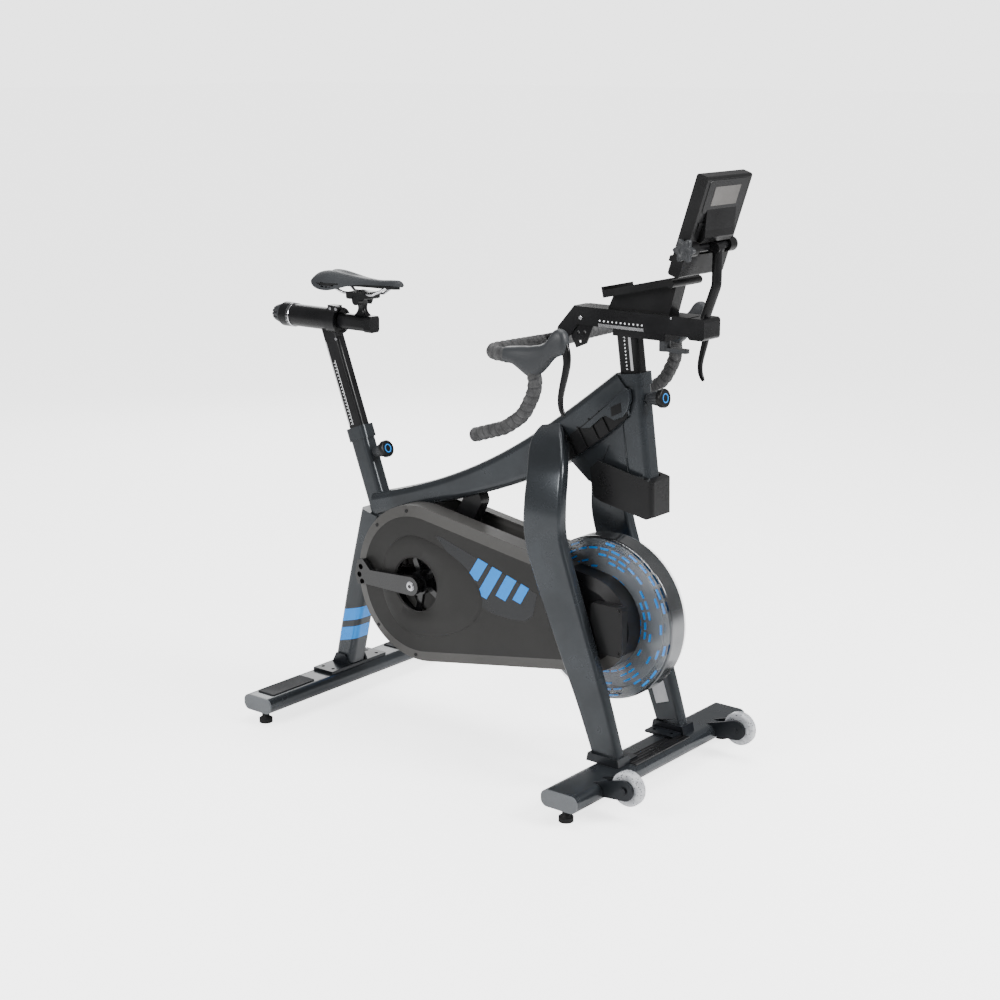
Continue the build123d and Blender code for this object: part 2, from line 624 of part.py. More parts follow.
def slide_tube():
    """The round outer tube: an oval hole through it for the bar, and a closed rear end."""
    length = SLIDE_FRONT - SLIDE_REAR
    tube = Pos(SLIDE_REAR, 0, SLIDE_Z) * Rot(0, 90, 0) * Cylinder(SLIDE_R, length, align=BOTTOM)
    collar = Pos(SLIDE_REAR, 0, SLIDE_Z) * Rot(0, 90, 0) * Cylinder(SLIDE_R + 3, 34, align=BOTTOM)
    hole = RectangleRounded(SLIDE_BAR[0] + 2 * GAP, SLIDE_BAR[1] + 2 * GAP, 12 + GAP)
    back = Plane(origin=(SLIDE_REAR + 10, 0, SLIDE_Z), x_dir=(0, 1, 0), z_dir=(1, 0, 0))
    bore = back * extrude(hole, amount=400)
    spigot = Pos(SLIDE_REAR - 1, 0, SLIDE_Z) * Rot(0, 90, 0) * Cylinder(8 + RUN, 40, align=BOTTOM)
    return tube + collar - bore - spigot


def slide_clamp():
    """The split clamp at the tube's front end, with a screw ear above and below."""
    x0 = SLIDE_FRONT - 30
    band = Pos(x0, 0, SLIDE_Z) * Rot(0, 90, 0) * Cylinder(SLIDE_R + 5, 34, align=BOTTOM)
    inner = Pos(x0 - 1, 0, SLIDE_Z) * Rot(0, 90, 0) * Cylinder(SLIDE_R, 36, align=BOTTOM)
    ears = block(x0 + 4, SLIDE_FRONT + 4, -20, 2, SLIDE_Z + SLIDE_R + 2, SLIDE_Z + SLIDE_R + 11)
    ears += block(x0 + 12, SLIDE_FRONT + 4, -14, 2, SLIDE_Z - SLIDE_R - 11, SLIDE_Z - SLIDE_R - 2)
    return band + ears - inner - in_tube(SEAT, SEAT_POST, 9, 0, slide_axis_point())


def slide_knob():
    """The ribbed, tapered knob that tightens the slide."""
    spin = Pos(SLIDE_REAR - GAP, 0, SLIDE_Z) * Rot(0, -90, 0)
    knob = spin * Cone(SLIDE_R - 1, 17, 38, align=BOTTOM)
    for i in range(12):
        angle = radians(30 * i)
        groove = Pos(0, 31 * cos(angle), 31 * sin(angle)) * Pos(SLIDE_REAR - 20, 0, SLIDE_Z) * Rot(0, 90, 0)
        knob -= groove * Cylinder(6, 60)
    knob += Pos(SLIDE_REAR - 2, 0, SLIDE_Z) * Rot(0, 90, 0) * Cylinder(8, 11, align=BOTTOM)
    return knob


def seat_bar():
    """The flat-sided bar inside the slide, with a block on its front end."""
    along = Plane(origin=(BAR_REAR, 0, SLIDE_Z), x_dir=(0, 1, 0), z_dir=(1, 0, 0))
    bar = along * extrude(RectangleRounded(SLIDE_BAR[0], SLIDE_BAR[1], 12), amount=BAR_FRONT - 20 - BAR_REAR)
    front = along * Pos(0, 0, BAR_FRONT - 22 - BAR_REAR)
    end = front * extrude(RectangleRounded(SLIDE_BAR[0] + 4, SLIDE_BAR[1] + 2, 8), amount=22)
    return bar + end


def saddle_post():
    """The waisted upright on the bar, with a round cross head."""
    base = SLIDE_Z + SLIDE_BAR[1] / 2
    place = Pos(SADDLE_POST_X, 0, 0)
    waist = loft([place * Pos(0, 0, base) * RectangleRounded(42, 28, 6),
                  place * Pos(0, 0, base + 12) * RectangleRounded(26, 18, 6),
                  place * Pos(0, 0, CLAMP_Z - 2) * RectangleRounded(24, 34, 6)])
    head = ring_y(SADDLE_POST_X, CLAMP_Z, CLAMP_R, -27, 27)
    above = block(SADDLE_POST_X - 40, SADDLE_POST_X + 40, -40, 40, CLAMP_Z + CLAMP_R - 1, CLAMP_Z + 60)
    return waist + head - above - seat_bar()


def saddle_clamp():
    """The cradle over the cross head; it grips both rails."""
    body = block(SADDLE_POST_X - 30, SADDLE_POST_X + 34, -29, 29, CLAMP_Z + 3, CLAMP_Z + 21)
    body = fillet(body.edges().filter_by(Axis.Y), 5)
    body -= ring_y(SADDLE_POST_X, CLAMP_Z, CLAMP_R + GAP, -40, 40)
    for x in (-22, 26):
        body += disc_z(SADDLE_POST_X + x, 0, 5, CLAMP_Z - 8, CLAMP_Z + 5)
    for side in (-1, 1):
        y = side * RAIL_Y
        body -= rod((SADDLE_POST_X - 60, y, RAIL_Z), (SADDLE_POST_X + 60, y, RAIL_Z), RAIL_R)
    return body


RAIL_Z = CLAMP_Z + 17


def saddle_rails():
    """Two rails: flat through the clamp, rising to the nose and to the rear of the shell."""
    rails = []
    for side in (-1, 1):
        x, y = SADDLE_POST_X, side * RAIL_Y
        path = FilletPolyline((x - 84, side * 36, RAIL_Z + 19), (x - 46, y, RAIL_Z), (x + 52, y, RAIL_Z),
                              (x + 92, side * 10, RAIL_Z + 20), radius=14)
        rails.append(sweep(Plane(origin=path @ 0, z_dir=path % 0) * Circle(RAIL_R), path=path))
    return rails


def saddle_outline(inset):
    """The saddle seen from above: a long nose, two rear lobes and a notch between them."""
    half = SADDLE_WIDTH / 2 - inset
    rear = NOSE_X - SADDLE_LENGTH + inset
    nose = NOSE_X - inset
    notch = (rear + 26, 0)
    lobe = ThreePointArc(notch, (rear, -half * 0.6), (rear + 40, -half))
    flank = Spline((rear + 40, -half), (rear + 96, -half * 0.6), (nose - 24, -18 + inset * 0.6),
                   tangents=[(1, 0), (1, 0.1)])
    tip = ThreePointArc((nose - 24, -18 + inset * 0.6), (nose - 6, -11 + inset * 0.4), (nose, 0))
    right = [lobe, flank, tip]
    return make_face(right + [mirror(edge, Plane.XZ) for edge in right])


def saddle_shell():
    """The hard base of the saddle, under the pad."""
    place = Pos(0, 0, SADDLE_TOP - 36)
    return place * extrude(saddle_outline(9), amount=7)


PAD_LOW = SADDLE_TOP - 29.0
SKIRT_LOW = SADDLE_TOP - 47.0  # the rear lobes' sides hang lower than the rest of the pad
SKIRT_FRONT = 92.0             # how far forward of the pad's rear edge the hanging sides end


def saddle_pad():
    """The padded cover: thick over the lobes, with sides that hang past the shell."""
    rear = NOSE_X - SADDLE_LENGTH
    pad = Pos(0, 0, PAD_LOW) * extrude(saddle_outline(0), amount=SADDLE_TOP - PAD_LOW)
    ring = saddle_outline(0) - saddle_outline(9)
    skirt = Pos(0, 0, SKIRT_LOW) * extrude(ring, amount=PAD_LOW + 1 - SKIRT_LOW)
    for side in (-1, 1):
        y0, y1 = sorted((side * 30, side * 90))
        pad += skirt & block(rear + 30, rear + SKIRT_FRONT, y0, y1, SKIRT_LOW - 1, PAD_LOW + 2)
    return pad


# ---- handlebar group -----------------------------------------------------------------------------
BEAM_REAR = REAR_BASE_X + 758.0
BEAM_FRONT = REAR_BASE_X + 1066.0
BEAM_LOW = BAR_BEAM_TOP - BAR_BEAM[1]
BAR_X = REAR_BASE_X + 692.0
BAR_Z = 1020.0
KEY = (16.0, 10.0)            # guide key on the post's head, width and height
CARRIAGE_REAR = REAR_BASE_X + 862.0
CARRIAGE_FRONT = REAR_BASE_X + 1004.0
CARRIAGE_THICK = 16.0
LOCK_X = REAR_BASE_X + 986.0
SCREEN_PIVOT = (REAR_BASE_X + 1096.0, 1258.0)
SCREEN_LOW = (REAR_BASE_X + 1046.0, 1204.0)    # lower edge of the case on the rider's side


def head_post():
    """The upright and, on its head, the carriage that the handlebar beam slides on."""
    top = (BEAM_LOW - HEAD.origin.Z) / cos(radians(HEAD_TILT)) + 20
    post = in_tube(HEAD, HEAD_POST, 10, -HEAD_INSERTION, top)
    top_z = BEAM_LOW - GAP
    post -= block(CARRIAGE_REAR - 200, CARRIAGE_FRONT + 200, -80, 80, top_z, top_z + 200)
    carriage = block(CARRIAGE_REAR, CARRIAGE_FRONT, -26, 26, top_z - CARRIAGE_THICK, top_z)
    key_half = KEY[0] / 2
    key_top = BEAM_LOW + KEY[1] - GAP
    key = block(CARRIAGE_REAR + 4, CARRIAGE_FRONT - 4, -key_half, key_half, top_z - 1, key_top)
    bore = disc_z(LOCK_X, 0, 6 + RUN, top_z - CARRIAGE_THICK - 5, top_z - 5)
    return post + carriage + key - bore


def bar_beam():
    """The box beam: a key slot underneath and a rear end that curves down to the handlebar."""
    body = block(BEAM_REAR, BEAM_FRONT, -BAR_BEAM[0] / 2, BAR_BEAM[0] / 2, BEAM_LOW, BAR_BEAM_TOP)
    x = BEAM_REAR
    neck = slab(polygon((x + 16, BAR_BEAM_TOP), (x - 6, BAR_BEAM_TOP), (x - 52, BAR_Z + 32), (x - 60, BAR_Z + 4),
                        (x - 34, BAR_Z - 10), (x + 8, BEAM_LOW + 4), (x + 30, BEAM_LOW)), -24, 24)
    body = body + neck
    slot_half = KEY[0] / 2 + GAP
    slot = block(x + 30, BEAM_FRONT + 1, -slot_half, slot_half, BEAM_LOW - 1, BEAM_LOW + KEY[1])
    return body - slot - ring_y(BAR_X, BAR_Z, BAR_R, -60, 60)


def clamp_plate():
    """The pierced plate under the rear of the beam."""
    x, z = BEAM_REAR, BEAM_LOW
    outline = polygon((x - 8, z - 1), (x + 46, z - 1), (x + 26, z - 44), (x - 2, z - 56), (x - 16, z - 30))
    for dx, dz in ((4, -20), (22, -18), (8, -40)):
        outline -= Pos(x + dx, z + dz) * Circle(4)
    return slab(outline, -20, -15) - bar_beam()


def drop_bar():
    """The bare middle of the handlebar; its ends sit inside the tape."""
    return ring_y(BAR_X, BAR_Z, BAR_R, TAPE_START - BAR_IN_TAPE, -TAPE_START + BAR_IN_TAPE)


DROP_BENDS = (52.0, 52.0, 80.0, 90.0, 90.0)


def bar_tape():
    """The taped bar on each side: out, forward, down and back, with a rounded plug at the end."""
    y = -BAR_HALF_WIDTH
    front = BAR_X + 146
    path = FilletPolyline((BAR_X, TAPE_START, BAR_Z), (BAR_X, y, BAR_Z + 4), (front, y, BAR_Z + 2),
                          (front - 4, y, BAR_Z - 70), (front - 34, y, BAR_Z - 126), (front - 86, y, BAR_Z - 160),
                          (BAR_X - 34, y, BAR_Z - 190), radius=DROP_BENDS)
    tape = sweep(Plane(origin=path @ 0, z_dir=path % 0) * Circle(TAPE_R), path=path)
    tape = max((tape - drop_bar()).solids(), key=lambda s: s.volume)
    end_edge = tape.edges().filter_by(GeomType.CIRCLE).sort_by(Axis.X)[0]
    return both_sides(fillet(end_edge, 6))


LEVER_PIVOT = (BAR_X + 222.0, BAR_Z + 40.0)
LEVER_THICK = 12.0
LEVER_PIN_R = 3.0


def hoods():
    """The grips over the bar's front bends, each with a raised horn and a slot for its lever."""
    x, z = BAR_X + 6, BAR_Z
    y = -BAR_HALF_WIDTH
    top = Spline((x + 62, z + 12), (x + 120, z + 26), (x + 166, z + 40), (x + 192, z + 70), (x + 212, z + 72))
    front = Line((x + 212, z + 72), (x + 226, z + 48))
    nose = Line((x + 226, z + 48), (x + 220, z + 14))
    below = Spline((x + 220, z + 14), (x + 186, z + 2), (x + 158, z - 34), (x + 124, z - 38))
    inside = Spline((x + 124, z - 38), (x + 108, z - 20), (x + 62, z - 14))
    back = Line((x + 62, z - 14), (x + 62, z + 12))
    body = slab(make_face([top, front, nose, below, inside, back]), y - 19, y + 19)
    pivot_x, pivot_z = LEVER_PIVOT
    gap_half = LEVER_THICK / 2 + GAP
    body -= block(pivot_x - 14, pivot_x + 60, y - gap_half, y + gap_half, z - 40, z + 60)
    body -= bar_tape()[0]
    body = max(body.solids(), key=lambda s: s.volume)
    body += ring_y(pivot_x, pivot_z, LEVER_PIN_R, y - 19, y + 19)
    return both_sides(body)


def brake_lever(side):
    """A curved blade that hangs from its pin in the hood."""
    px, pz = LEVER_PIVOT
    outer = Spline((px + 9, pz + 2), (px + 21, pz - 36), (px + 3, pz - 84), (px - 5, pz - 116),
                   (px + 8, pz - 154))
    tip = Line((px + 8, pz - 154), (px - 5, pz - 157))
    inner = Spline((px - 5, pz - 157), (px - 20, pz - 118), (px - 12, pz - 80), (px + 5, pz - 40),
                   (px - 9, pz - 2))
    over = ThreePointArc((px - 9, pz - 2), (px, pz + 9), (px + 9, pz + 2))
    y = side * BAR_HALF_WIDTH
    half = LEVER_THICK / 2
    blade = slab(make_face([outer, tip, inner, over]), y - half, y + half)
    return blade - ring_y(px, pz, LEVER_PIN_R + RUN, y - half - 1, y + half + 1)


def lock_lever():
    """The lever under the carriage that locks the handlebar beam."""
    top = BEAM_LOW - GAP - CARRIAGE_THICK
    body = disc_z(LOCK_X, 0, 6, top - 4, top + 8)
    body += disc_z(LOCK_X, 0, 13, top - 26, top - 1)
    handle = block(LOCK_X, LOCK_X + 62, -9, 9, top - 26, top - 17)
    handle = fillet(handle.edges().filter_by(Axis.Z), 6)
    return body + handle


TRAY_TILT = 13.0


def tray():
    """The sloping tray on its wedge-shaped stand."""
    low_x = BEAM_REAR + 100
    place = Pos(low_x, 0, BAR_BEAM_TOP + 28) * Rot(0, -TRAY_TILT, 0)
    plate = place * Pos(92, 0, 5) * Box(184, 116, 8)
    for side in (-1, 1):
        plate += place * Pos(92, side * 55, 12) * Box(184, 6, 12)
    plate += place * Pos(2, 0, 14) * Box(6, 116, 24)
    plate += place * Pos(182, 0, 5) * Rot(90, 0, 0) * Cylinder(9, 116)
    z = BAR_BEAM_TOP
    stand = slab(polygon((low_x - 14, z), (low_x + 150, z), (low_x + 172, z + 80), (low_x + 4, z + 40)), -20, 20)
    stand -= place * Pos(92, 0, 21) * Box(260, 130, 40)
    return plate + stand


ARM_R = 11.0
PIVOT_HALF = 62.0             # half length of the barrel between the screen's ears
EAR_THICK = 27.0
BARREL_R = 9.0
STUB_R = 5.0                  # the barrel's pin in the left ear
KNOB_STUB_R = 4.0
WINDOW = (SCREEN_WIDTH - 18.0, SCREEN_HEIGHT - 52.0)
WINDOW_LOW = 43.0             # bottom of the window, up the screen
WINDOW_DEEP = 3.0


def screen_arm():
    """The bent tube from the clamp on the beam's front end to the barrel behind the screen."""
    px, pz = SCREEN_PIVOT
    top_x = px + 20
    foot = (BEAM_FRONT + 19, 0, BAR_BEAM_TOP - 12)
    path = FilletPolyline(foot, (top_x, 0, pz - 82), (top_x, 0, pz - 2), radius=45)
    tube = sweep(Plane(origin=foot, z_dir=path % 0) * Circle(ARM_R), path=path)
    clamp = block(BEAM_FRONT, BEAM_FRONT + 42, -33, 33, BEAM_LOW - 6, BAR_BEAM_TOP)
    clamp = fillet(clamp.edges().filter_by(Axis.Y), 8)
    barrel = ring_y(px, pz, BARREL_R, -PIVOT_HALF, PIVOT_HALF)
    barrel += slab(capsule(px, pz, BARREL_R, top_x, pz - 2, ARM_R), -ARM_R, ARM_R)
    stub = ring_y(px, pz, STUB_R, PIVOT_HALF, PIVOT_HALF + EAR_THICK)
    return tube + clamp + barrel + stub


def screen_plane():
    """A plane whose normal runs up the tilted screen; its x runs forward through the thickness."""
    t = radians(SCREEN_TILT)
    low = (SCREEN_LOW[0], 0, SCREEN_LOW[1])
    return Plane(origin=low, x_dir=(cos(t), 0, -sin(t)), z_dir=(sin(t), 0, cos(t)))


def screen_window(x0, x1):
    """The window's opening, from one depth behind the rider's face to another."""
    return screen_plane() * block(x0, x1, -WINDOW[0] / 2, WINDOW[0] / 2, WINDOW_LOW, WINDOW_LOW + WINDOW[1])


def screen_holder():
    """The case, with a wedge-shaped back, two pivot ears and a lip on the rider's side."""
    px, pz = SCREEN_PIVOT
    half = SCREEN_WIDTH / 2
    outside = PIVOT_HALF + EAR_THICK
    case = screen_plane() * block(0, SCREEN_THICK, -half, half, 0, SCREEN_HEIGHT)
    case = fillet(case.edges().filter_by(Axis.Y), 6)
    lean = tan(radians(SCREEN_TILT))
    back_x, back_z = SCREEN_LOW[0] + SCREEN_THICK, SCREEN_LOW[1]
    case += slab(polygon((back_x + 40 * lean, back_z + 40), (px + 16, pz + 16), (px + 24, pz + 24),
                         (px + 24, pz + 40), (back_x + 150 * lean, back_z + 150)), -58, 58)
    ear = capsule(px, pz, 16, px - 12, pz + 6, 14)
    bridge = polygon((px - 22, pz + 4), (px + 4, pz + 18), (px + 20, pz + 56), (px - 6, pz + 56))
    for side in (-1, 1):
        y0, y1 = sorted((side * (PIVOT_HALF + GAP), side * outside))
        case += slab(ear, y0, y1)
    case += slab(bridge, -PIVOT_HALF - 12, PIVOT_HALF + 12)
    case += screen_plane() * block(-23, 3, -60, 60, 19, 31)
    case -= slab(capsule(px, pz, BARREL_R + 7, px + 30, pz - 12, 20), -PIVOT_HALF - GAP, PIVOT_HALF + GAP)
    case -= ring_y(px, pz, KNOB_STUB_R + RUN, -outside - 1, 0) + ring_y(px, pz, STUB_R + RUN, 0, outside + 1)
    return case - screen_window(-1, WINDOW_DEEP)


def screen_glass():
    return screen_window(1, WINDOW_DEEP)


def tilt_knob():
    """A six-armed knob on the right end of the screen's pivot."""
    px, pz = SCREEN_PIVOT
    y = -PIVOT_HALF - EAR_THICK - GAP
    knob = ring_y(px, pz, 17, y - 18, y)
    for i in range(6):
        angle = radians(60 * i)
        knob += ring_y(px + 19 * cos(angle), pz + 19 * sin(angle), 8, y - 18, y - 3)
    return knob + ring_y(px, pz, KNOB_STUB_R, y, y + EAR_THICK - 1)


# ---- build ---------------------------------------------------------------------------------------
os.makedirs("parts", exist_ok=True)

write("front_base", front_base())
write("rear_base", base_beam(REAR_BASE_X, REAR_BASE_HALF, REAR_BASE_DEPTH, REAR_FOOT_Y))
write("base_end_caps", end_caps())
write("standing_pads", standing_pads())
for end, foot_x, foot_y in (("front", FRONT_BASE_X, FRONT_FOOT_Y), ("rear", REAR_BASE_X, REAR_FOOT_Y)):
    write(f"foot_{end}_right", levelling_foot(foot_x, -foot_y))
    write(f"foot_{end}_left", levelling_foot(foot_x, foot_y))
write("wheel_brackets", wheel_brackets() + wheel_axles())
write("wheel_right", transport_wheel(-1))
write("wheel_left", transport_wheel(1))

write("seat_tube", seat_tube())
write("head_tube", head_tube())
write("tube_collars", [tube_collar(SEAT, SEAT_TUBE, SEAT_POST, 34, 14),
                       tube_collar(HEAD, HEAD_TUBE, HEAD_POST, 28, 15)])
write("main_beam", main_beam() + gusset())
write("rear_leg", rear_leg())
right_leg, left_leg = both_sides(fork_leg())
write("fork_leg_right", right_leg)
write("fork_leg_left", left_leg)
write("foot_plates", foot_plates() + [rear_foot_bracket()])
write("drive_carrier", drive_carrier())
write("bottom_bearings", bottom_bearings())
write("front_shroud", front_shroud())

belt_cover_right = belt_cover(COVER_FACE, COVER_EDGE, CRANK_HOLE_R)
write("belt_cover_right", belt_cover_right)
write("belt_cover_left", mirror(belt_cover(LEFT_COVER_FACE, LEFT_COVER_EDGE, LEFT_HOLE_R), Plane.XZ))
write("cover_screws", cover_screws())
write("motor_box", motor_box())
write("crank_spindle", spindle())
write("crank_right", crank_arm(-1, -1))
write("crank_left", crank_arm(1, 1))
write("belt_pulley", belt_pulley())
write("belt", belt())
write("flywheel_disc", flywheel_disc())
write("flywheel_rim", flywheel_rim())
write("flywheel_guards", flywheel_guards())
write("flywheel_axle", flywheel_axle())

write("seat_knob", pull_knob(SEAT, KNOB_DROP_SEAT, SEAT_TUBE[0] / 2, SEAT_POST[0] / 2))
write("head_knob", pull_knob(HEAD, KNOB_DROP_HEAD, HEAD_TUBE[0] / 2, HEAD_POST[0] / 2))

write("seat_post", seat_post())
write("slide_tube", slide_tube())
write("slide_clamp", slide_clamp())
write("slide_knob", slide_knob())
write("seat_bar", seat_bar())
write("saddle_post", saddle_post())
write("saddle_clamp", saddle_clamp())
rails = saddle_rails()
write("saddle_rails", rails)
write("saddle_shell", saddle_shell() - rails)
write("saddle_pad", saddle_pad())

write("head_post", head_post())
write("bar_beam", bar_beam() + clamp_plate())
write("drop_bar", drop_bar())
write("bar_tape", bar_tape())
write("hoods", hoods())
write("lever_right", brake_lever(-1))
write("lever_left", brake_lever(1))
write("lock_lever", lock_lever())
write("tray", tray())
write("screen_arm", screen_arm())
write("screen_holder", screen_holder())
write("screen_glass", screen_glass())
write("tilt_knob", tilt_knob())
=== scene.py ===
from math import cos, pi, radians, sin
import bmesh
import bpy
import numpy as np
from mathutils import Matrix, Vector


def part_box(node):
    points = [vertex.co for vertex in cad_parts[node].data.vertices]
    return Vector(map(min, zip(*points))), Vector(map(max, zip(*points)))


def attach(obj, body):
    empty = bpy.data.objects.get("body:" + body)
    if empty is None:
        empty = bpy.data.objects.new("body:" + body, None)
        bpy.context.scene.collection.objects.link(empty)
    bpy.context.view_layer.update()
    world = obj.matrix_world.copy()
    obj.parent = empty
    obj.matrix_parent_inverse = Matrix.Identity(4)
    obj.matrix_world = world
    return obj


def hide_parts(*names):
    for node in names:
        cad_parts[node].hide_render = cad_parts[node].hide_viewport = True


# Looks of the indoor spin bike. The frame is in metres, +Z up, +X towards the handlebar, +Y towards the rider's left.
# Sizes in this script are in millimetres unless a comment says otherwise; piece() makes them metres.

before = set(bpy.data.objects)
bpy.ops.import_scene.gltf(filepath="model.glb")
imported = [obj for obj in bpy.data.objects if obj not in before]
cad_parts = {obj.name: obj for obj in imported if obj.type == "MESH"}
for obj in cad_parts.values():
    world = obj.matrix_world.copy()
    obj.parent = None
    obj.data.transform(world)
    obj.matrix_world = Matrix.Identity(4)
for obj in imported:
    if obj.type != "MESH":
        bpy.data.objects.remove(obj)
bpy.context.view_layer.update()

MM = 0.001
SEAT_TILT = radians(20.5)
HEAD_TILT = radians(7.7)


def corner(node, end, axis):
    """One coordinate of a CAD node's box, in millimetres: end 0 is the low corner and 1 the high one."""
    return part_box(node)[end][axis] / MM


def middle(node, axis):
    return (corner(node, 0, axis) + corner(node, 1, axis)) / 2


# ---- places read from the frame, in millimetres ----
FRONT_X = middle("foot_front_right", 0)
REAR_X = middle("foot_rear_right", 0)
CRANK = np.array([middle("crank_spindle", 0), 0.0, middle("crank_spindle", 2)])
HUB = np.array([middle("flywheel_axle", 0), 0.0, middle("flywheel_axle", 2)])
BAR = np.array([middle("drop_bar", 0), 0.0, middle("drop_bar", 2)])
TAPE_R = 17.0
BAR_Y = corner("bar_tape", 1, 1) - TAPE_R
COVER_FACE = -corner("belt_cover_right", 0, 1)
LEG_OUTER = 150.0
LEG_THICK = 33.0
LEG_MID = LEG_OUTER - LEG_THICK / 2
SEAT_MOUTH = np.array([REAR_X + 51.0, 0.0, 727.0])
SLIDE_Z = 996.0
HEAD_MOUTH = np.array([REAR_X + 903.0, 0.0, 962.0])
SEAT_UP = np.array([-sin(SEAT_TILT), 0.0, cos(SEAT_TILT)])
SEAT_OUT = np.array([cos(SEAT_TILT), 0.0, sin(SEAT_TILT)])
HEAD_UP = np.array([-sin(HEAD_TILT), 0.0, cos(HEAD_TILT)])
HEAD_OUT = np.array([cos(HEAD_TILT), 0.0, sin(HEAD_TILT)])
LEFTWARD = np.array([0.0, 1.0, 0.0])
RIGHTWARD = np.array([0.0, -1.0, 0.0])
FORWARD = np.array([1.0, 0.0, 0.0])
UPWARD = np.array([0.0, 0.0, 1.0])

# ---- colours, linear ----
SLATE = (0.030, 0.0345, 0.0395)
SLATE_DEEP = (0.021, 0.0242, 0.0278)
BLACK = (0.0035, 0.0035, 0.0040)
SOOT = (0.0070, 0.0070, 0.0078)
GRAPHITE = (0.0170, 0.0166, 0.0160)
BAND_GREY = (0.066, 0.0645, 0.0620)
BLUE = (0.006, 0.22, 0.68)


# ---- node tools ----
def add(tree, kind, inputs=None, **settings):
    """A node with its settings and the plain values or links of its inputs."""
    made = tree.nodes.new(kind)
    for key, value in settings.items():
        setattr(made, key, value)
    for key, value in (inputs or {}).items():
        if isinstance(value, bpy.types.NodeSocket):
            tree.links.new(value, made.inputs[key])
        else:
            if isinstance(value, tuple) and len(value) == 3 and made.inputs[key].type == "RGBA":
                value = (*value, 1.0)
            made.inputs[key].default_value = value
    return made


def math_node(tree, operation, first, second=0.0, third=None, clamp=False):
    values = {0: first, 1: second}
    if third is not None:
        values[2] = third
    return add(tree, "ShaderNodeMath", values, operation=operation, use_clamp=clamp).outputs[0]


def mix_colour(tree, share, first, second):
    made = add(tree, "ShaderNodeMix", {0: share, 6: first, 7: second}, data_type="RGBA")
    return made.outputs[2]


def times(tree, first, second):
    return math_node(tree, "MULTIPLY", first, second)


def between(tree, value, low, high):
    """One where the value lies between two levels, and nought elsewhere."""
    return times(tree, math_node(tree, "GREATER_THAN", value, low), math_node(tree, "LESS_THAN", value, high))


def ramp(tree, value, low, high, to_low=0.0, to_high=1.0):
    made = add(tree, "ShaderNodeMapRange", {"Value": value, "From Min": low, "From Max": high,
                                            "To Min": to_low, "To Max": to_high})
    return made.outputs["Result"]


def new_group(name, inputs, outputs):
    """An empty shader node group with its sockets; it gives back the tree and its two end nodes."""
    tree = bpy.data.node_groups.new(name, "ShaderNodeTree")
    for label, kind in inputs:
        tree.interface.new_socket(label, in_out="INPUT", socket_type=kind)
    for label, kind in outputs:
        tree.interface.new_socket(label, in_out="OUTPUT", socket_type=kind)
    return tree, tree.nodes.new("NodeGroupInput"), tree.nodes.new("NodeGroupOutput")


def build_surface_group():
    """Handled surface: wide patches blend base to shade and rough low to high, and fine grain gives a height."""
    tree, given, result = new_group(
        "handled_surface",
        [("Vector", "NodeSocketVector"), ("Base", "NodeSocketColor"), ("Shade", "NodeSocketColor"),
         ("Patch Scale", "NodeSocketFloat"), ("Grain Scale", "NodeSocketFloat"),
         ("Rough Low", "NodeSocketFloat"), ("Rough High", "NodeSocketFloat")],
        [("Color", "NodeSocketColor"), ("Roughness", "NodeSocketFloat"), ("Height", "NodeSocketFloat")])

    def noise(scale, detail, distortion=0.0):
        return add(tree, "ShaderNodeTexNoise", {"Vector": given.outputs["Vector"], "Scale": scale, "Detail": detail,
                                                "Distortion": distortion}).outputs["Fac"]

    patch = noise(given.outputs["Patch Scale"], 5.0)
    grain = noise(given.outputs["Grain Scale"], 2.0)
    scratch = noise(60.0, 6.0, 2.0)
    share = ramp(tree, patch, 0.35, 0.65)
    worn = ramp(tree, scratch, 0.50, 0.80)
    tone = mix_colour(tree, share, given.outputs["Base"], given.outputs["Shade"])
    fleck = ramp(tree, grain, 0.25, 0.75, 0.88, 1.12)
    colour = add(tree, "ShaderNodeVectorMath", {0: tone, "Scale": fleck}, operation="SCALE").outputs[0]
    smooth = ramp(tree, share, 0.0, 1.0, given.outputs["Rough Low"], given.outputs["Rough High"])
    rough = math_node(tree, "ADD", smooth, times(tree, worn, 0.03), clamp=True)
    tree.links.new(colour, result.inputs["Color"])
    tree.links.new(rough, result.inputs["Roughness"])
    tree.links.new(grain, result.inputs["Height"])
    return tree


SURFACE = build_surface_group()


def start_material(name, metallic, coat, gloss=0.3):
    """A new Principled material; gloss is its specular level."""
    material = bpy.data.materials.new(name)
    material.use_nodes = True
    tree = material.node_tree
    shader = tree.nodes["Principled BSDF"]
    for label, value in (("Metallic", metallic), ("Coat Weight", coat), ("Coat Roughness", 0.12),
                         ("Specular IOR Level", gloss)):
        shader.inputs[label].default_value = value
    place = add(tree, "ShaderNodeTexCoord").outputs["Object"]
    return material, tree, shader, place


def surface(tree, place, base, shade, rough, patch=9.0, grain=900.0):
    made = tree.nodes.new("ShaderNodeGroup")
    made.node_tree = SURFACE
    tree.links.new(place, made.inputs["Vector"])
    for label, value in (("Base", base), ("Shade", shade)):
        if isinstance(value, bpy.types.NodeSocket):
            tree.links.new(value, made.inputs[label])
        else:
            made.inputs[label].default_value = (*value, 1.0)
    for label, value in (("Patch Scale", patch), ("Grain Scale", grain), ("Rough Low", rough[0]),
                         ("Rough High", rough[1])):
        made.inputs[label].default_value = value
    return made


def wire(tree, shader, colour, rough, height, depth):
    """Colour, roughness and a bump of the given depth in metres into the shader."""
    tree.links.new(colour, shader.inputs["Base Color"])
    tree.links.new(rough, shader.inputs["Roughness"])
    bump = add(tree, "ShaderNodeBump", {"Height": height, "Distance": depth, "Strength": 1.0})
    tree.links.new(bump.outputs["Normal"], shader.inputs["Normal"])


def wire_made(tree, shader, made, depth):
    """The handled surface's own colour, roughness and grain into the shader."""
    wire(tree, shader, made.outputs["Color"], made.outputs["Roughness"], made.outputs["Height"], depth)


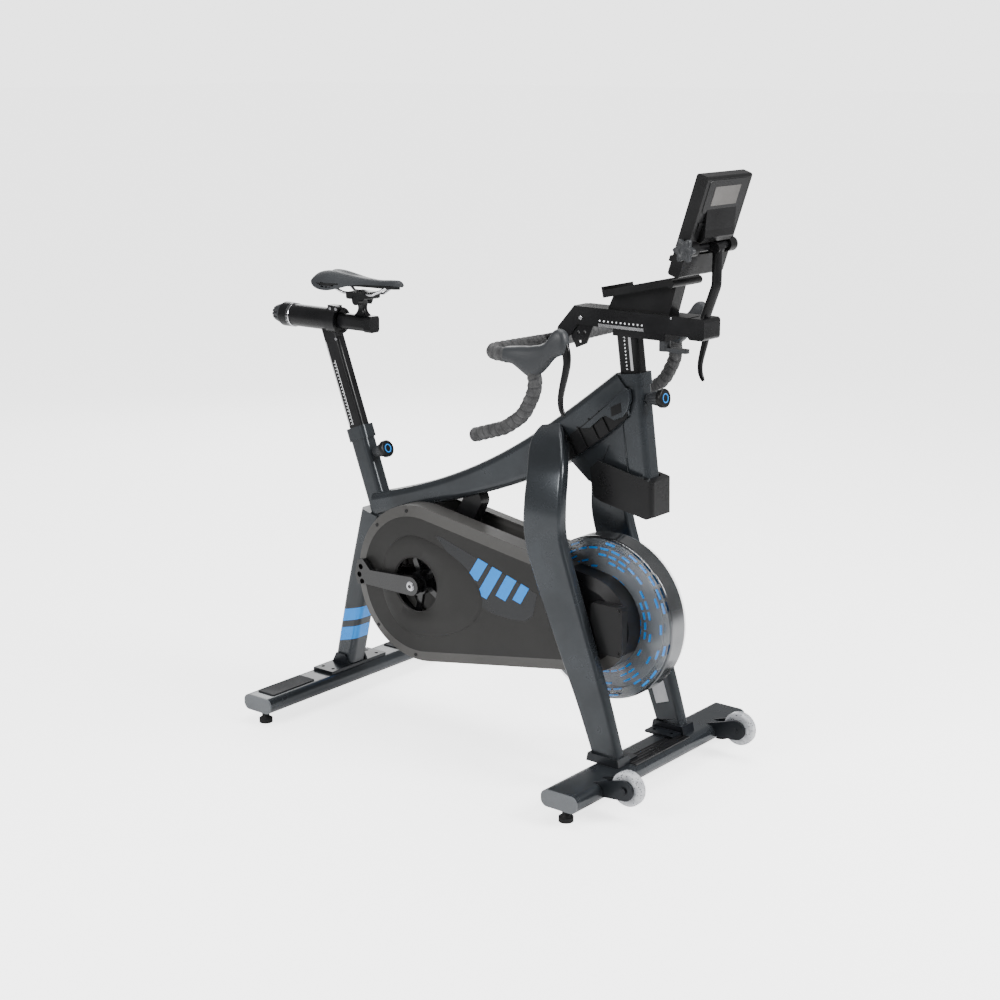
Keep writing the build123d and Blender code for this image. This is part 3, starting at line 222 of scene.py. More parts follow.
def plain(name, base, shade, rough, metallic=0.0, coat=0.0, patch=9.0, grain=900.0, depth=0.00005, gloss=0.3):
    """A material with only the handled surface."""
    material, tree, shader, place = start_material(name, metallic, coat, gloss)
    made = surface(tree, place, base, shade, rough, patch, grain)
    wire_made(tree, shader, made, depth)
    return material


def axis_value(tree, place, axis):
    return add(tree, "ShaderNodeSeparateXYZ", {0: place}).outputs[axis]


# ---- materials ----
slate_paint = plain("slate_paint", SLATE, SLATE_DEEP, (0.24, 0.34), metallic=0.5, coat=0.25, grain=1500.0,
                    depth=0.000003)
dark_slate = plain("dark_slate", (0.014, 0.016, 0.020), (0.009, 0.011, 0.013), (0.28, 0.38), metallic=0.4, coat=0.1,
                   grain=1500.0, depth=0.000008)
satin_black = plain("satin_black", BLACK, SOOT, (0.24, 0.34), coat=0.05, grain=1500.0, depth=0.000003, gloss=0.2)
cap_grey = plain("cap_grey", (0.105, 0.112, 0.120), (0.085, 0.091, 0.098), (0.42, 0.52))
foot_black = plain("foot_black", BLACK, SOOT, (0.6, 0.8), grain=500.0, depth=0.0001)
screw_steel = plain("screw_steel", (0.55, 0.55, 0.57), (0.42, 0.42, 0.44), (0.22, 0.35), metallic=1.0, patch=60.0)
gloss_alloy = plain("gloss_alloy", (0.010, 0.010, 0.0105), (0.006, 0.006, 0.0065), (0.10, 0.20), metallic=0.35,
                    coat=0.5, depth=0.00001, gloss=0.5)
moulded_black = plain("moulded_black", (0.0050, 0.0050, 0.0054), (0.0080, 0.0080, 0.0085), (0.26, 0.34), grain=1200.0,
                      depth=0.000006, gloss=0.18)
knob_grey = plain("knob_grey", (0.030, 0.032, 0.035), (0.020, 0.0215, 0.024), (0.36, 0.48), grain=1200.0,
                  depth=0.00005)
hood_rubber = plain("hood_rubber", (0.026, 0.028, 0.031), (0.018, 0.0195, 0.022), (0.40, 0.54), grain=1300.0,
                    depth=0.00008)
saddle_cover = plain("saddle_cover", (0.024, 0.026, 0.029), (0.017, 0.0185, 0.021), (0.42, 0.56), patch=14.0,
                     grain=1000.0, depth=0.00014)
bright_rail = plain("bright_rail", (0.75, 0.75, 0.77), (0.62, 0.62, 0.64), (0.14, 0.24), metallic=1.0)
blue_print = plain("blue_print", BLUE, (0.005, 0.20, 0.62), (0.35, 0.45))
white_print = plain("white_print", (0.85, 0.86, 0.88), (0.74, 0.75, 0.77), (0.4, 0.5))
label_white = plain("label_white", (0.62, 0.62, 0.63), (0.52, 0.52, 0.54), (0.30, 0.42), patch=30.0)
label_silver = plain("label_silver", (0.15, 0.145, 0.14), (0.12, 0.115, 0.11), (0.3, 0.42), metallic=0.6)
decal_film = plain("decal_film", (0.0055, 0.0065, 0.0085), (0.0045, 0.0055, 0.007), (0.20, 0.30), coat=0.1)
glass_black = plain("glass_black", (0.004, 0.004, 0.005), (0.006, 0.006, 0.008), (0.05, 0.09), coat=0.6)
belt_black = plain("belt_black", BLACK, SOOT, (0.55, 0.7))
chrome = plain("chrome", (0.82, 0.82, 0.84), (0.70, 0.70, 0.72), (0.08, 0.16), metallic=1.0)


RIB_PITCH = 0.006


def ribbed_rubber():
    """Fine ribs across the standing pads."""
    material, tree, shader, place = start_material("ribbed_rubber", 0.0, 0.0)
    made = surface(tree, place, (0.022, 0.023, 0.025), (0.016, 0.017, 0.019), (0.58, 0.74))
    ribs = math_node(tree, "SINE", times(tree, axis_value(tree, place, 1), 2 * pi / RIB_PITCH))
    height = math_node(tree, "MAXIMUM", ribs, -0.2)
    wire(tree, shader, made.outputs["Color"], made.outputs["Roughness"], height, 0.0006)
    return material


STRIPE_SLOPE = 0.27
STRIPE_LEVELS = ((267.0, 302.0), (320.0, 352.0))


def striped_slate():
    """Slate paint with two pale blue bands, which rise towards the front of the leg."""
    material, tree, shader, place = start_material("striped_slate", 0.3, 0.25)
    made = surface(tree, place, SLATE, SLATE_DEEP, (0.26, 0.36), grain=1500.0)
    x, z = axis_value(tree, place, 0), axis_value(tree, place, 2)
    level = math_node(tree, "MULTIPLY_ADD", x, -STRIPE_SLOPE, z)
    bands = 0.0
    for low, high in STRIPE_LEVELS:
        bands = math_node(tree, "ADD", bands, between(tree, level, low * MM, high * MM), clamp=True)
    colour = mix_colour(tree, bands, made.outputs["Color"], (*BLUE, 1.0))
    wire(tree, shader, colour, made.outputs["Roughness"], made.outputs["Height"], 0.000008)
    return material


NOSE_BEHIND = 0.338  # the black end begins ahead of this and above the next, in metres
NOSE_ABOVE = 0.318


def cover_shell(face_depth):
    """Dark face, a paler band on the slope and the side wall, and a black end round the flywheel's axle."""
    material, tree, shader, place = start_material("cover_shell", 0.0, 0.0, 0.22)
    depth = math_node(tree, "ABSOLUTE", axis_value(tree, place, 1))
    band = math_node(tree, "LESS_THAN", depth, face_depth * MM)
    colour = mix_colour(tree, band, (*GRAPHITE, 1.0), (*BAND_GREY, 1.0))
    shade = mix_colour(tree, band, (0.0140, 0.0136, 0.0131, 1.0), (0.056, 0.0545, 0.0525, 1.0))
    nose = times(tree, math_node(tree, "GREATER_THAN", axis_value(tree, place, 0), NOSE_BEHIND),
                 math_node(tree, "GREATER_THAN", axis_value(tree, place, 2), NOSE_ABOVE))
    colour = mix_colour(tree, nose, colour, (*SOOT, 1.0))
    shade = mix_colour(tree, nose, shade, (*BLACK, 1.0))
    made = surface(tree, place, colour, shade, (0.34, 0.44), patch=5.0, grain=1300.0)
    wire_made(tree, shader, made, 0.00004)
    return material


def polar(tree, place, centre):
    """Distance from an axis along Y through centre, and the turn round it from 0 to 1."""
    moved = add(tree, "ShaderNodeMapping", {"Vector": place, "Location": tuple(-centre * MM)})
    x, z = axis_value(tree, moved.outputs[0], 0), axis_value(tree, moved.outputs[0], 2)
    squares = math_node(tree, "ADD", times(tree, x, x), times(tree, z, z))
    turn = math_node(tree, "MULTIPLY_ADD", math_node(tree, "ARCTAN2", z, x), 1 / (2 * pi), 0.5)
    return math_node(tree, "SQRT", squares), turn


def turned_metal(name, base, shade, rough, metallic, coat=0.0, rings=1400.0):
    """Metal with the fine rings of a lathe round the flywheel's axis."""
    material, tree, shader, place = start_material(name, metallic, coat)
    made = surface(tree, place, base, shade, rough, patch=12.0)
    radius, _ = polar(tree, place, HUB)
    groove = add(tree, "ShaderNodeTexNoise", {"W": times(tree, radius, rings), "Scale": 1.0},
                 noise_dimensions="1D").outputs["Fac"]
    rough_out = math_node(tree, "ADD", made.outputs["Roughness"],
                          math_node(tree, "MULTIPLY_ADD", groove, 0.2, -0.1), clamp=True)
    wire(tree, shader, made.outputs["Color"], rough_out, groove, 0.00005)
    return material


DASH_START = 0.106  # radius of the first circle of dashes, in metres
DASH_PITCH = 0.0145
DASH_ROWS = 6.0
DASHES_ROUND = 34.0


def clear_guard():
    """Smoky clear plastic, printed with short blue dashes on six circles."""
    material, tree, shader, place = start_material("clear_guard", 0.0, 0.4, 0.5)
    made = surface(tree, place, (0.25, 0.275, 0.30), (0.20, 0.225, 0.25), (0.08, 0.16))
    radius, turn = polar(tree, place, HUB)
    row = times(tree, math_node(tree, "SUBTRACT", radius, DASH_START), 1 / DASH_PITCH)
    ring = math_node(tree, "FLOOR", row)
    across = math_node(tree, "FRACT", row)
    line = between(tree, across, 0.32, 0.62)
    shift = add(tree, "ShaderNodeTexWhiteNoise", {"W": ring}, noise_dimensions="1D").outputs["Value"]
    step = times(tree, math_node(tree, "ADD", turn, shift), DASHES_ROUND)
    cell = math_node(tree, "FLOOR", step)
    seed = math_node(tree, "MULTIPLY_ADD", ring, 71.0, cell)
    chance = add(tree, "ShaderNodeTexWhiteNoise", {"W": seed}, noise_dimensions="1D").outputs["Value"]
    along = math_node(tree, "FRACT", step)
    dash = times(tree, math_node(tree, "GREATER_THAN", chance, 0.45),
                 math_node(tree, "LESS_THAN", along, 0.72))
    inside = between(tree, row, 0.0, DASH_ROWS)
    mark = times(tree, times(tree, line, dash), inside)
    colour = mix_colour(tree, mark, made.outputs["Color"], (*BLUE, 1.0))
    wire(tree, shader, colour, made.outputs["Roughness"], made.outputs["Height"], 0.00001)
    tree.links.new(ramp(tree, mark, 0.0, 1.0, 0.22, 1.0), shader.inputs["Alpha"])
    return material


def speckled_wheel():
    """Milky clear plastic with dark flecks in it."""
    material, tree, shader, place = start_material("speckled_wheel", 0.0, 0.5, 0.5)
    made = surface(tree, place, (0.50, 0.51, 0.53), (0.30, 0.31, 0.33), (0.12, 0.25), patch=60.0)
    cells = add(tree, "ShaderNodeTexVoronoi", {"Vector": place, "Scale": 170.0})
    fleck = math_node(tree, "LESS_THAN", cells.outputs["Distance"], 0.24)
    colour = mix_colour(tree, fleck, made.outputs["Color"], (0.05, 0.05, 0.06, 1.0))
    wire(tree, shader, colour, made.outputs["Roughness"], cells.outputs["Distance"], 0.0002)
    return material


def wound_tape():
    """Cushioned tape with small pits, and darker towards each overlap by its own attribute: painted shade in the low
    step after each lap.
    """
    material, tree, shader, place = start_material("wound_tape", 0.0, 0.0)
    made = surface(tree, place, (0.062, 0.062, 0.063), (0.034, 0.034, 0.035), (0.58, 0.74), patch=60.0, grain=1300.0)
    lap = add(tree, "ShaderNodeAttribute", attribute_name="lap").outputs["Fac"]
    pits = add(tree, "ShaderNodeTexVoronoi", {"Vector": place, "Scale": 300.0}).outputs["Distance"]
    # painted shade: the colour darkens over the first part of each turn, in the step where the next lap overlaps
    colour = mix_colour(tree, ramp(tree, lap, 0.0, 0.30, 0.85, 0.0), made.outputs["Color"], (0.016, 0.016, 0.018, 1.0))
    height = math_node(tree, "MULTIPLY_ADD", pits, 0.8, made.outputs["Height"])
    wire(tree, shader, colour, made.outputs["Roughness"], height, 0.0007)
    return material


pad_rubber = ribbed_rubber()
leg_stripes = striped_slate()
cover_right = cover_shell(COVER_FACE - 0.3)
cover_left = cover_shell(corner("belt_cover_left", 1, 1) - 0.3)
disc_alloy = turned_metal("disc_alloy", (0.26, 0.27, 0.29), (0.19, 0.20, 0.22), (0.34, 0.46), 0.75)
rim_steel = turned_metal("rim_steel", (0.15, 0.155, 0.16), (0.09, 0.094, 0.10), (0.12, 0.22), 0.9, coat=0.4)
guard_plastic = clear_guard()
wheel_plastic = speckled_wheel()
bar_wrap = wound_tape()

NODE_FINISH = {
    slate_paint: ("front_base", "rear_base", "seat_tube", "head_tube", "tube_collars", "main_beam", "fork_leg_right",
                  "fork_leg_left"),
    dark_slate: ("wheel_brackets", "foot_plates"),
    leg_stripes: ("rear_leg",),
    satin_black: ("drive_carrier", "seat_post", "slide_tube", "seat_bar", "saddle_post", "head_post", "bar_beam",
                  "drop_bar", "screen_arm", "lever_right", "lever_left", "slide_clamp", "cover_screws",
                  "saddle_clamp"),
    cap_grey: ("base_end_caps",),
    pad_rubber: ("standing_pads",),
    foot_black: ("foot_front_right", "foot_front_left", "foot_rear_right", "foot_rear_left"),
    wheel_plastic: ("wheel_right", "wheel_left"),
    cover_right: ("belt_cover_right",),
    cover_left: ("belt_cover_left",),
    moulded_black: ("front_shroud", "motor_box", "saddle_shell", "tray", "screen_holder"),
    screw_steel: ("bottom_bearings", "flywheel_axle", "crank_spindle"),
    gloss_alloy: ("crank_right", "crank_left", "belt_pulley"),
    belt_black: ("belt",),
    disc_alloy: ("flywheel_disc",),
    rim_steel: ("flywheel_rim",),
    guard_plastic: ("flywheel_guards",),
    knob_grey: ("seat_knob", "head_knob", "slide_knob", "tilt_knob", "lock_lever"),
    bright_rail: ("saddle_rails",),
    saddle_cover: ("saddle_pad",),
    bar_wrap: ("bar_tape",),
    hood_rubber: ("hoods",),
    glass_black: ("screen_glass",),
}
for finish, names in NODE_FINISH.items():
    for node_name in names:
        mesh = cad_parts[node_name].data
        mesh.materials.clear()
        mesh.materials.append(finish)


# ---- surface tools ----
def placed(name, data):
    """A new object of the data, in the scene."""
    made = bpy.data.objects.new(name, data)
    bpy.context.scene.collection.objects.link(made)
    return made


def piece(name, vertices, faces, material, body, slot, replaces=(), crease=35.0, merge=True):
    """A mesh piece from points in millimetres; it rides on a body and takes the given material, and its slot is not
    used.
    """
    mesh = bpy.data.meshes.new(name)
    mesh.from_pydata((np.asarray(vertices, float) * MM).tolist(), [], faces)
    shape = bmesh.new()
    shape.from_mesh(mesh)
    if merge:
        bmesh.ops.remove_doubles(shape, verts=shape.verts, dist=0.000005)
    bmesh.ops.recalc_face_normals(shape, faces=shape.faces)
    shape.to_mesh(mesh)
    shape.free()
    mesh.shade_smooth()
    mesh.set_sharp_from_angle(angle=radians(crease))
    mesh.materials.append(material)
    made = placed(name, mesh)
    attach(made, body)
    if replaces:
        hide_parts(*replaces)
    return made


def loft_faces(rings, around, closed_ends=True, first=0):
    """Quads between neighbouring rings of a grid, and one face over each end ring."""
    ring, spoke = np.meshgrid(np.arange(rings - 1), np.arange(around), indexing="ij")
    following = (spoke + 1) % around
    quads = np.stack([ring * around + spoke, ring * around + following,
                      (ring + 1) * around + following, (ring + 1) * around + spoke], axis=-1).reshape(-1, 4) + first
    faces = quads.tolist()
    if closed_ends:
        faces.append(list(range(first + around - 1, first - 1, -1)))
        faces.append(list(range(first + (rings - 1) * around, first + rings * around)))
    return faces


def catmull(stations, steps):
    """Rows between the given rows, on the cubic that passes through them all, as one array."""
    rows = np.asarray(stations, float)
    padded = np.vstack([rows[:1], rows, rows[-1:]])
    share = np.linspace(0.0, 1.0, steps, endpoint=False)[None, :, None]
    a, b, c, d = (padded[i:len(rows) - 1 + i, None, :] for i in range(4))
    curve = b + 0.5 * share * (c - a + share * (2 * a - 5 * b + 4 * c - d + share * (3 * (b - c) + d - a)))
    return np.vstack([curve.reshape(-1, rows.shape[1]), rows[-1:]])


def unit(vectors):
    return vectors / np.linalg.norm(vectors, axis=-1, keepdims=True)


def rounded_ring(width, thick, radius, per_corner=7):
    """Points round a rounded rectangle: four quarter circles about the corners' centres."""
    turn = np.linspace(0.0, pi / 2, per_corner)
    angles = (turn[None, :] + (np.arange(4) * pi / 2)[:, None]).reshape(-1)
    sign_a = np.repeat([1.0, -1.0, -1.0, 1.0], per_corner)
    sign_b = np.repeat([1.0, 1.0, -1.0, -1.0], per_corner)
    width, thick, radius = (np.asarray(v, float)[..., None] for v in (width, thick, radius))
    return (sign_a * (width / 2 - radius) + radius * np.cos(angles),
            sign_b * (thick / 2 - radius) + radius * np.sin(angles))


def tangents(path):
    return unit(np.gradient(path, axis=0))


def swept(path, across, upward, ring_a, ring_b):
    """Each ring's points: the path's point, plus a times the across direction, plus b times the upward one."""
    return path[:, None, :] + ring_a[..., None] * across[:, None, :] + ring_b[..., None] * upward[:, None, :]


def turned(profile, centre, axis, steps=48, flutes=0, flute_depth=0.0, fluted=None):
    """A profile of (along, radius) turned round an axis; flutes pull the radius in by a cosine of the angle."""
    profile = np.asarray(profile, float)
    axis = unit(np.asarray(axis, float))
    side = unit(np.cross(axis, [0.3, 0.2, 0.93]))
    other = np.cross(axis, side)
    angle = np.linspace(0.0, 2 * pi, steps, endpoint=False)
    radius = profile[:, 1:2] * np.ones((1, steps))
    if flutes:
        share = np.asarray(fluted, float)[:, None]
        radius = radius - share * flute_depth * np.clip(np.cos(flutes * angle), 0.0, 1.0)[None, :] ** 2
    ring = np.cos(angle)[None, :, None] * side + np.sin(angle)[None, :, None] * other
    points = np.asarray(centre, float) + profile[:, 0][:, None, None] * axis + radius[..., None] * ring
    return points.reshape(-1, 3), loft_faces(len(profile), steps)


def prism(outline, origin, first, second, depth):
    """A flat outline in the plane of two directions, made a plate of the given depth along their cross product."""
    outline = np.asarray(outline, float)
    normal = np.cross(first, second)
    base = np.asarray(origin, float) + outline[:, :1] * first + outline[:, 1:2] * second
    points = np.vstack([base, base + depth * normal])
    return points, loft_faces(2, len(outline))


def merged(parts):
    """Several point and face lists as one."""
    points, faces = [], []
    count = 0
    for part_points, part_faces in parts:
        points.append(np.asarray(part_points, float))
        faces += [[index + count for index in face] for face in part_faces]
        count += len(part_points)
    return np.vstack(points), faces


def circle(radius, steps=20, centre=(0.0, 0.0)):
    angle = np.linspace(0.0, 2 * pi, steps, endpoint=False)
    return np.stack([centre[0] + radius * np.cos(angle), centre[1] + radius * np.sin(angle)], axis=1)


def socket_screw(centre, axis, radius, height):
    """A round head with a rounded rim and a socket sunk in its top."""
    bore = radius * 0.5
    profile = [(-1.0, 0.01), (-1.0, radius), (height * 0.8, radius), (height, radius * 0.88), (height, bore),
               (height * 0.35, bore * 0.95), (height * 0.35, 0.01)]
    return turned(profile, centre, axis, steps=24)


SIDES = (("right", -1.0), ("left", 1.0))


# ---- fork legs ----
def beam_point(along):
    """A point on the main beam's middle line."""
    start = SEAT_MOUTH - SEAT_UP * 208.0 + np.array([0.0, 0.0, 4.0])
    end = HEAD_MOUTH - HEAD_UP * 34.0
    up = 0.60 * along + 0.40 * along ** 3
    return np.array([start[0] + along * (end[0] - start[0]), 0.0, start[2] + up * (end[2] - start[2])])


def fork_leg():
    """A rounded rectangle carried down a cubic through nine stations, square to the path, cut flat at the foot."""
    foot = FRONT_X - 24.0
    hub = HUB[0] - 9.0
    low = corner("fork_leg_right", 0, 2)
    crown = beam_point(0.74)
    stations = ((crown[0] - 6, -32, crown[2] + 40, 58, 24), (crown[0] + 10, -68, crown[2] + 12, 86, 30),
                (hub - 90, -LEG_MID + 22, crown[2] - 45, 100, LEG_THICK), (hub - 82, -LEG_MID + 2, 655, 106, LEG_THICK),
                (hub - 78, -LEG_MID, 580, 108, LEG_THICK), (hub - 48, -LEG_MID, 490, 104, LEG_THICK),
                (hub + 8, -LEG_MID, 350, 94, LEG_THICK), ((hub + 8 + foot) / 2 + 6, -LEG_MID, 215, 82, LEG_THICK),
                (foot, -LEG_MID, low, 72, LEG_THICK))
    rows = catmull(stations, 12)
    path, way = rows[:, :3], tangents(rows[:, :3])
    across = unit(FORWARD - way * way[:, :1])
    upward = np.cross(way, across)
    ring_a, ring_b = rounded_ring(rows[:, 3], rows[:, 4], np.full(len(rows), 9.0))
    grid = swept(path, across, upward, ring_a, ring_b)
    last = grid[-1]
    grid[-1] = last + way[-1] * ((low - last[:, 2:3]) / way[-1][2])
    return grid


leg_grid = fork_leg()
for side_name, sign in SIDES:
    points = leg_grid.reshape(-1, 3) * np.array([1.0, -sign, 1.0])
    piece(f"fork_leg_{side_name}_shell", points, loft_faces(*leg_grid.shape[:2]), slate_paint, "frame",
          "frame_paint", replaces=(f"fork_leg_{side_name}",), crease=50.0)


# ---- handlebar tape, hoods and brake levers ----
def rounded_route(corners, radii, step):
    """Straight runs joined by arcs, one radius for each inner corner, sampled about every step."""
    corners = np.asarray(corners, float)
    samples = [corners[:1]]
    here = corners[0]
    for before, turn, after, radius in zip(corners, corners[1:], corners[2:], radii):
        way_in, way_out = unit(turn - before), unit(after - turn)
        bend = np.arccos(np.clip(way_in @ way_out, -1.0, 1.0))
        reach = radius * np.tan(bend / 2)
        start = turn - way_in * reach
        centre_way = unit(way_out - way_in)
        centre = turn + centre_way * radius / np.cos(bend / 2)
        count = max(int(np.linalg.norm(start - here) / step), 1)
        samples.append(here + (start - here) * np.linspace(0, 1, count + 1)[1:, None])
        angle = np.linspace(0, bend, max(int(radius * bend / step), 2) + 1)[1:, None]
        spoke = unit(start - centre)
        samples.append(centre + radius * (np.cos(angle) * spoke + np.sin(angle) * way_in))
        here = samples[-1][-1]
    count = max(int(np.linalg.norm(corners[-1] - here) / step), 1)
    samples.append(here + (corners[-1] - here) * np.linspace(0, 1, count + 1)[1:, None])
    return np.vstack(samples)


def carried_frame(path, first):
    """Two directions square to the path that turn with it and never twist round it."""
    way = tangents(path)
    across = [unit(first - way[0] * (first @ way[0]))]
    for direction in way[1:]:
        previous = across[-1]
        across.append(unit(previous - direction * (previous @ direction)))
    across = np.array(across)
    return way, across, np.cross(way, across)


TAPE_PITCH = 18.5
TAPE_LAP = 1.6
DROP_BENDS = (52.0, 52.0, 80.0, 90.0, 90.0)  # radius of each bend along the bar
ROUTE_STEP = 1.3


def bar_route(sign):
    y = sign * BAR_Y
    x, z = BAR[0], BAR[2]
    return rounded_route([(x, sign * 62.0, z), (x, y, z + 4), (x + 146, y, z + 2), (x + 142, y, z - 70),
                          (x + 112, y, z - 126), (x + 60, y, z - 160), (x - 34, y, z - 190)],
                         DROP_BENDS, ROUTE_STEP)


def tape_piece(side_name, sign):
    """The tube's radius rises slowly over each turn of tape and drops at the lap, which winds round the tube;
    the last rings close in a quarter circle."""
    path = bar_route(sign)
    way, across, upward = carried_frame(path, UPWARD)
    length = np.concatenate([[0.0], np.cumsum(np.linalg.norm(np.diff(path, axis=0), axis=1))])
    around = 56
    angle = np.linspace(0, 2 * pi, around, endpoint=False)
    phase = (length[:, None] / TAPE_PITCH + sign * angle[None, :] / (2 * pi)) % 1.0
    rise = np.minimum(phase / 0.86, (1.0 - phase) / 0.14)
    wobble = 0.25 * np.sin(length[:, None] * 0.31 + 2.0 * angle[None, :])
    left = length[-1] - length
    closing = np.sqrt(np.clip(1.0 - (1.0 - np.clip(left / 7.0, 0.0, 1.0)) ** 2, 0.0, 1.0))
    radius = (TAPE_R - TAPE_LAP + TAPE_LAP * rise + wobble - 0.25) * np.maximum(closing, 0.55)[:, None]
    grid = swept(path, across, upward, radius * np.cos(angle), radius * np.sin(angle))
    made = piece(f"bar_tape_{side_name}", grid.reshape(-1, 3), loft_faces(len(path), around), bar_wrap, "handlebar",
                 "bar_tape", replaces=("bar_tape",), crease=80.0, merge=False)
    lap = made.data.attributes.new("lap", "FLOAT", "POINT")
    lap.data.foreach_set("value", phase.reshape(-1).astype(np.float32))
    end, way_end = path[-1], way[-1]
    plug = turned([(-3, 0.01), (-3, 9.0), (0.5, 9.0), (1.5, 7.5), (1.9, 0.01)], end, way_end, steps=32)
    piece(f"bar_plug_{side_name}", *plug, moulded_black, "handlebar", "black_metal")


HOOD_STATIONS = (  # along the bar, height of the middle, half height, half width
    (66.0, 4.0, 18.0, 18.0), (86.0, 5.0, 19.5, 19.3), (106.0, 1.0, 26.0, 19.6), (126.0, -4.0, 32.5, 19.8),
    (142.0, -3.0, 34.5, 19.6), (158.0, 3.0, 32.0, 19.2), (172.0, 12.5, 28.5, 18.8), (184.0, 25.0, 27.0, 18.4),
    (196.0, 38.5, 30.0, 17.8), (208.0, 44.0, 29.5, 17.0), (219.0, 44.5, 26.5, 15.4), (226.0, 42.0, 20.0, 12.0),
    (230.0, 40.0, 9.0, 6.0))


def hood_piece(side_name, sign):
    """Squared ovals along the bar: x is a power of the cosine times the half width, z the same of the sine."""
    rows = catmull(HOOD_STATIONS, 7)
    around = 40
    angle = np.linspace(0, 2 * pi, around, endpoint=False)
    wide = np.sign(np.cos(angle)) * np.abs(np.cos(angle)) ** 0.8
    tall = np.sign(np.sin(angle)) * np.abs(np.sin(angle)) ** 0.8
    x = np.repeat(rows[:, :1] + BAR[0], around, axis=1)
    y = sign * BAR_Y + rows[:, 3:4] * wide[None, :]
    z = BAR[2] + rows[:, 1:2] + rows[:, 2:3] * tall[None, :]
    grid = np.stack([x, y, z], axis=-1)
    return piece(f"hood_{side_name}", grid.reshape(-1, 3), loft_faces(len(rows), around), hood_rubber, "handlebar",
                 "hood_rubber", replaces=("hoods",), crease=60.0)


PIN_AHEAD = 222.0
PIN_ABOVE = 40.0
LEVER_STATIONS = (  # forward of the pin, above the pin, width, thickness
    (0.0, 5.0, 14.0, 11.0), (5.0, -16.0, 19.0, 11.8), (6.5, -40.0, 17.5, 11.8), (1.5, -66.0, 16.0, 11.5),
    (-5.0, -92.0, 14.5, 11.0), (-9.5, -116.0, 13.0, 10.5), (-8.5, -136.0, 12.0, 9.5), (-2.5, -150.0, 10.5, 8.0),
    (1.0, -155.5, 6.0, 5.0))


def lever_piece(side_name, sign):
    """A flat oval carried down a cubic from the pin to the curled tip."""
    pin = np.array([BAR[0] + PIN_AHEAD, sign * BAR_Y, BAR[2] + PIN_ABOVE])
    rows = catmull(LEVER_STATIONS, 8)
    path = pin + np.stack([rows[:, 0], np.zeros(len(rows)), rows[:, 1]], axis=1)
    way = tangents(path)
    across = np.cross(way, LEFTWARD)
    ring_a, ring_b = rounded_ring(rows[:, 2], rows[:, 3], rows[:, 3] * 0.42, per_corner=5)
    grid = swept(path, across, np.repeat(LEFTWARD[None, :], len(path), axis=0), ring_a, ring_b)
    letter = side_name[0]
    return piece(f"brake_blade_{side_name}", grid.reshape(-1, 3), loft_faces(*grid.shape[:2]), satin_black,
                 f"lever_{letter}", "black_metal", replaces=(f"lever_{side_name}",), crease=60.0)


for side_name, sign in SIDES:
    tape_piece(side_name, sign)
    hood_piece(side_name, sign)
    lever_piece(side_name, sign)


# ---- saddle ----
SADDLE_STATIONS = (  # share of the length, half width, height of the crown, fall of the side
    (0.0, 40.0, 1116.0, 10.0), (0.03, 57.0, 1122.0, 22.0), (0.09, 69.0, 1126.0, 35.0), (0.17, 73.0, 1126.5, 43.0),
    (0.27, 68.0, 1124.0, 43.0), (0.37, 54.0, 1120.5, 34.0), (0.47, 38.0, 1117.0, 23.0), (0.58, 27.0, 1113.5, 16.0),
    (0.72, 20.5, 1111.0, 12.5), (0.86, 19.5, 1113.0, 12.5), (0.95, 17.0, 1113.5, 12.0), (0.99, 9.0, 1109.0, 8.0),
    (1.0, 3.0, 1104.0, 5.0))


def saddle_top():
    """A closed pad. Across it, the top falls from the crown by the side's fall times the half width's share to
    the power 2.3, and the underside runs level and turns to the side's edge over its last few millimetres. A
    bell-shaped channel sinks along the middle, and a notch pulls the rear middle forward."""
    rear, nose = corner("saddle_pad", 0, 0), corner("saddle_pad", 1, 0)
    base = corner("saddle_shell", 1, 2) - 0.5
    rows = catmull(SADDLE_STATIONS, 8)
    share, half, crown, fall = (rows[:, i:i + 1] for i in range(4))
    angle = np.linspace(0, 2 * pi, 72, endpoint=False)[None, :]
    across = np.sign(np.cos(angle)) * np.abs(np.cos(angle)) ** 0.85
    reach = np.abs(across)
    top = crown - fall * reach ** 2.3
    turn_in = np.clip((reach - (1.0 - 9.0 / np.maximum(half, 14.0))) * np.maximum(half, 14.0) / 9.0, 0.0, 1.0)
    under = base + (crown - fall - base) * turn_in ** 0.7
    y = half * across
    middle_line = np.exp(-(y / 11.0) ** 2)
    channel = 6.0 * middle_line * np.exp(-((share - 0.25) / 0.28) ** 2)
    z = np.where(np.sin(angle) >= 0, top - channel * (np.sin(angle) > 0), np.minimum(under, top))
    notch = 26.0 * np.exp(-(y / 15.0) ** 2) * np.clip(1 - share / 0.30, 0.0, 1.0)
    x = rear + share * (nose - rear) + notch
    return np.stack([x * np.ones_like(y), y, z], axis=-1)


saddle_grid = saddle_top()
saddle = piece("saddle_cushion", saddle_grid.reshape(-1, 3), loft_faces(*saddle_grid.shape[:2]), saddle_cover,
               "saddle", "saddle_cover", replaces=("saddle_pad",), crease=75.0)


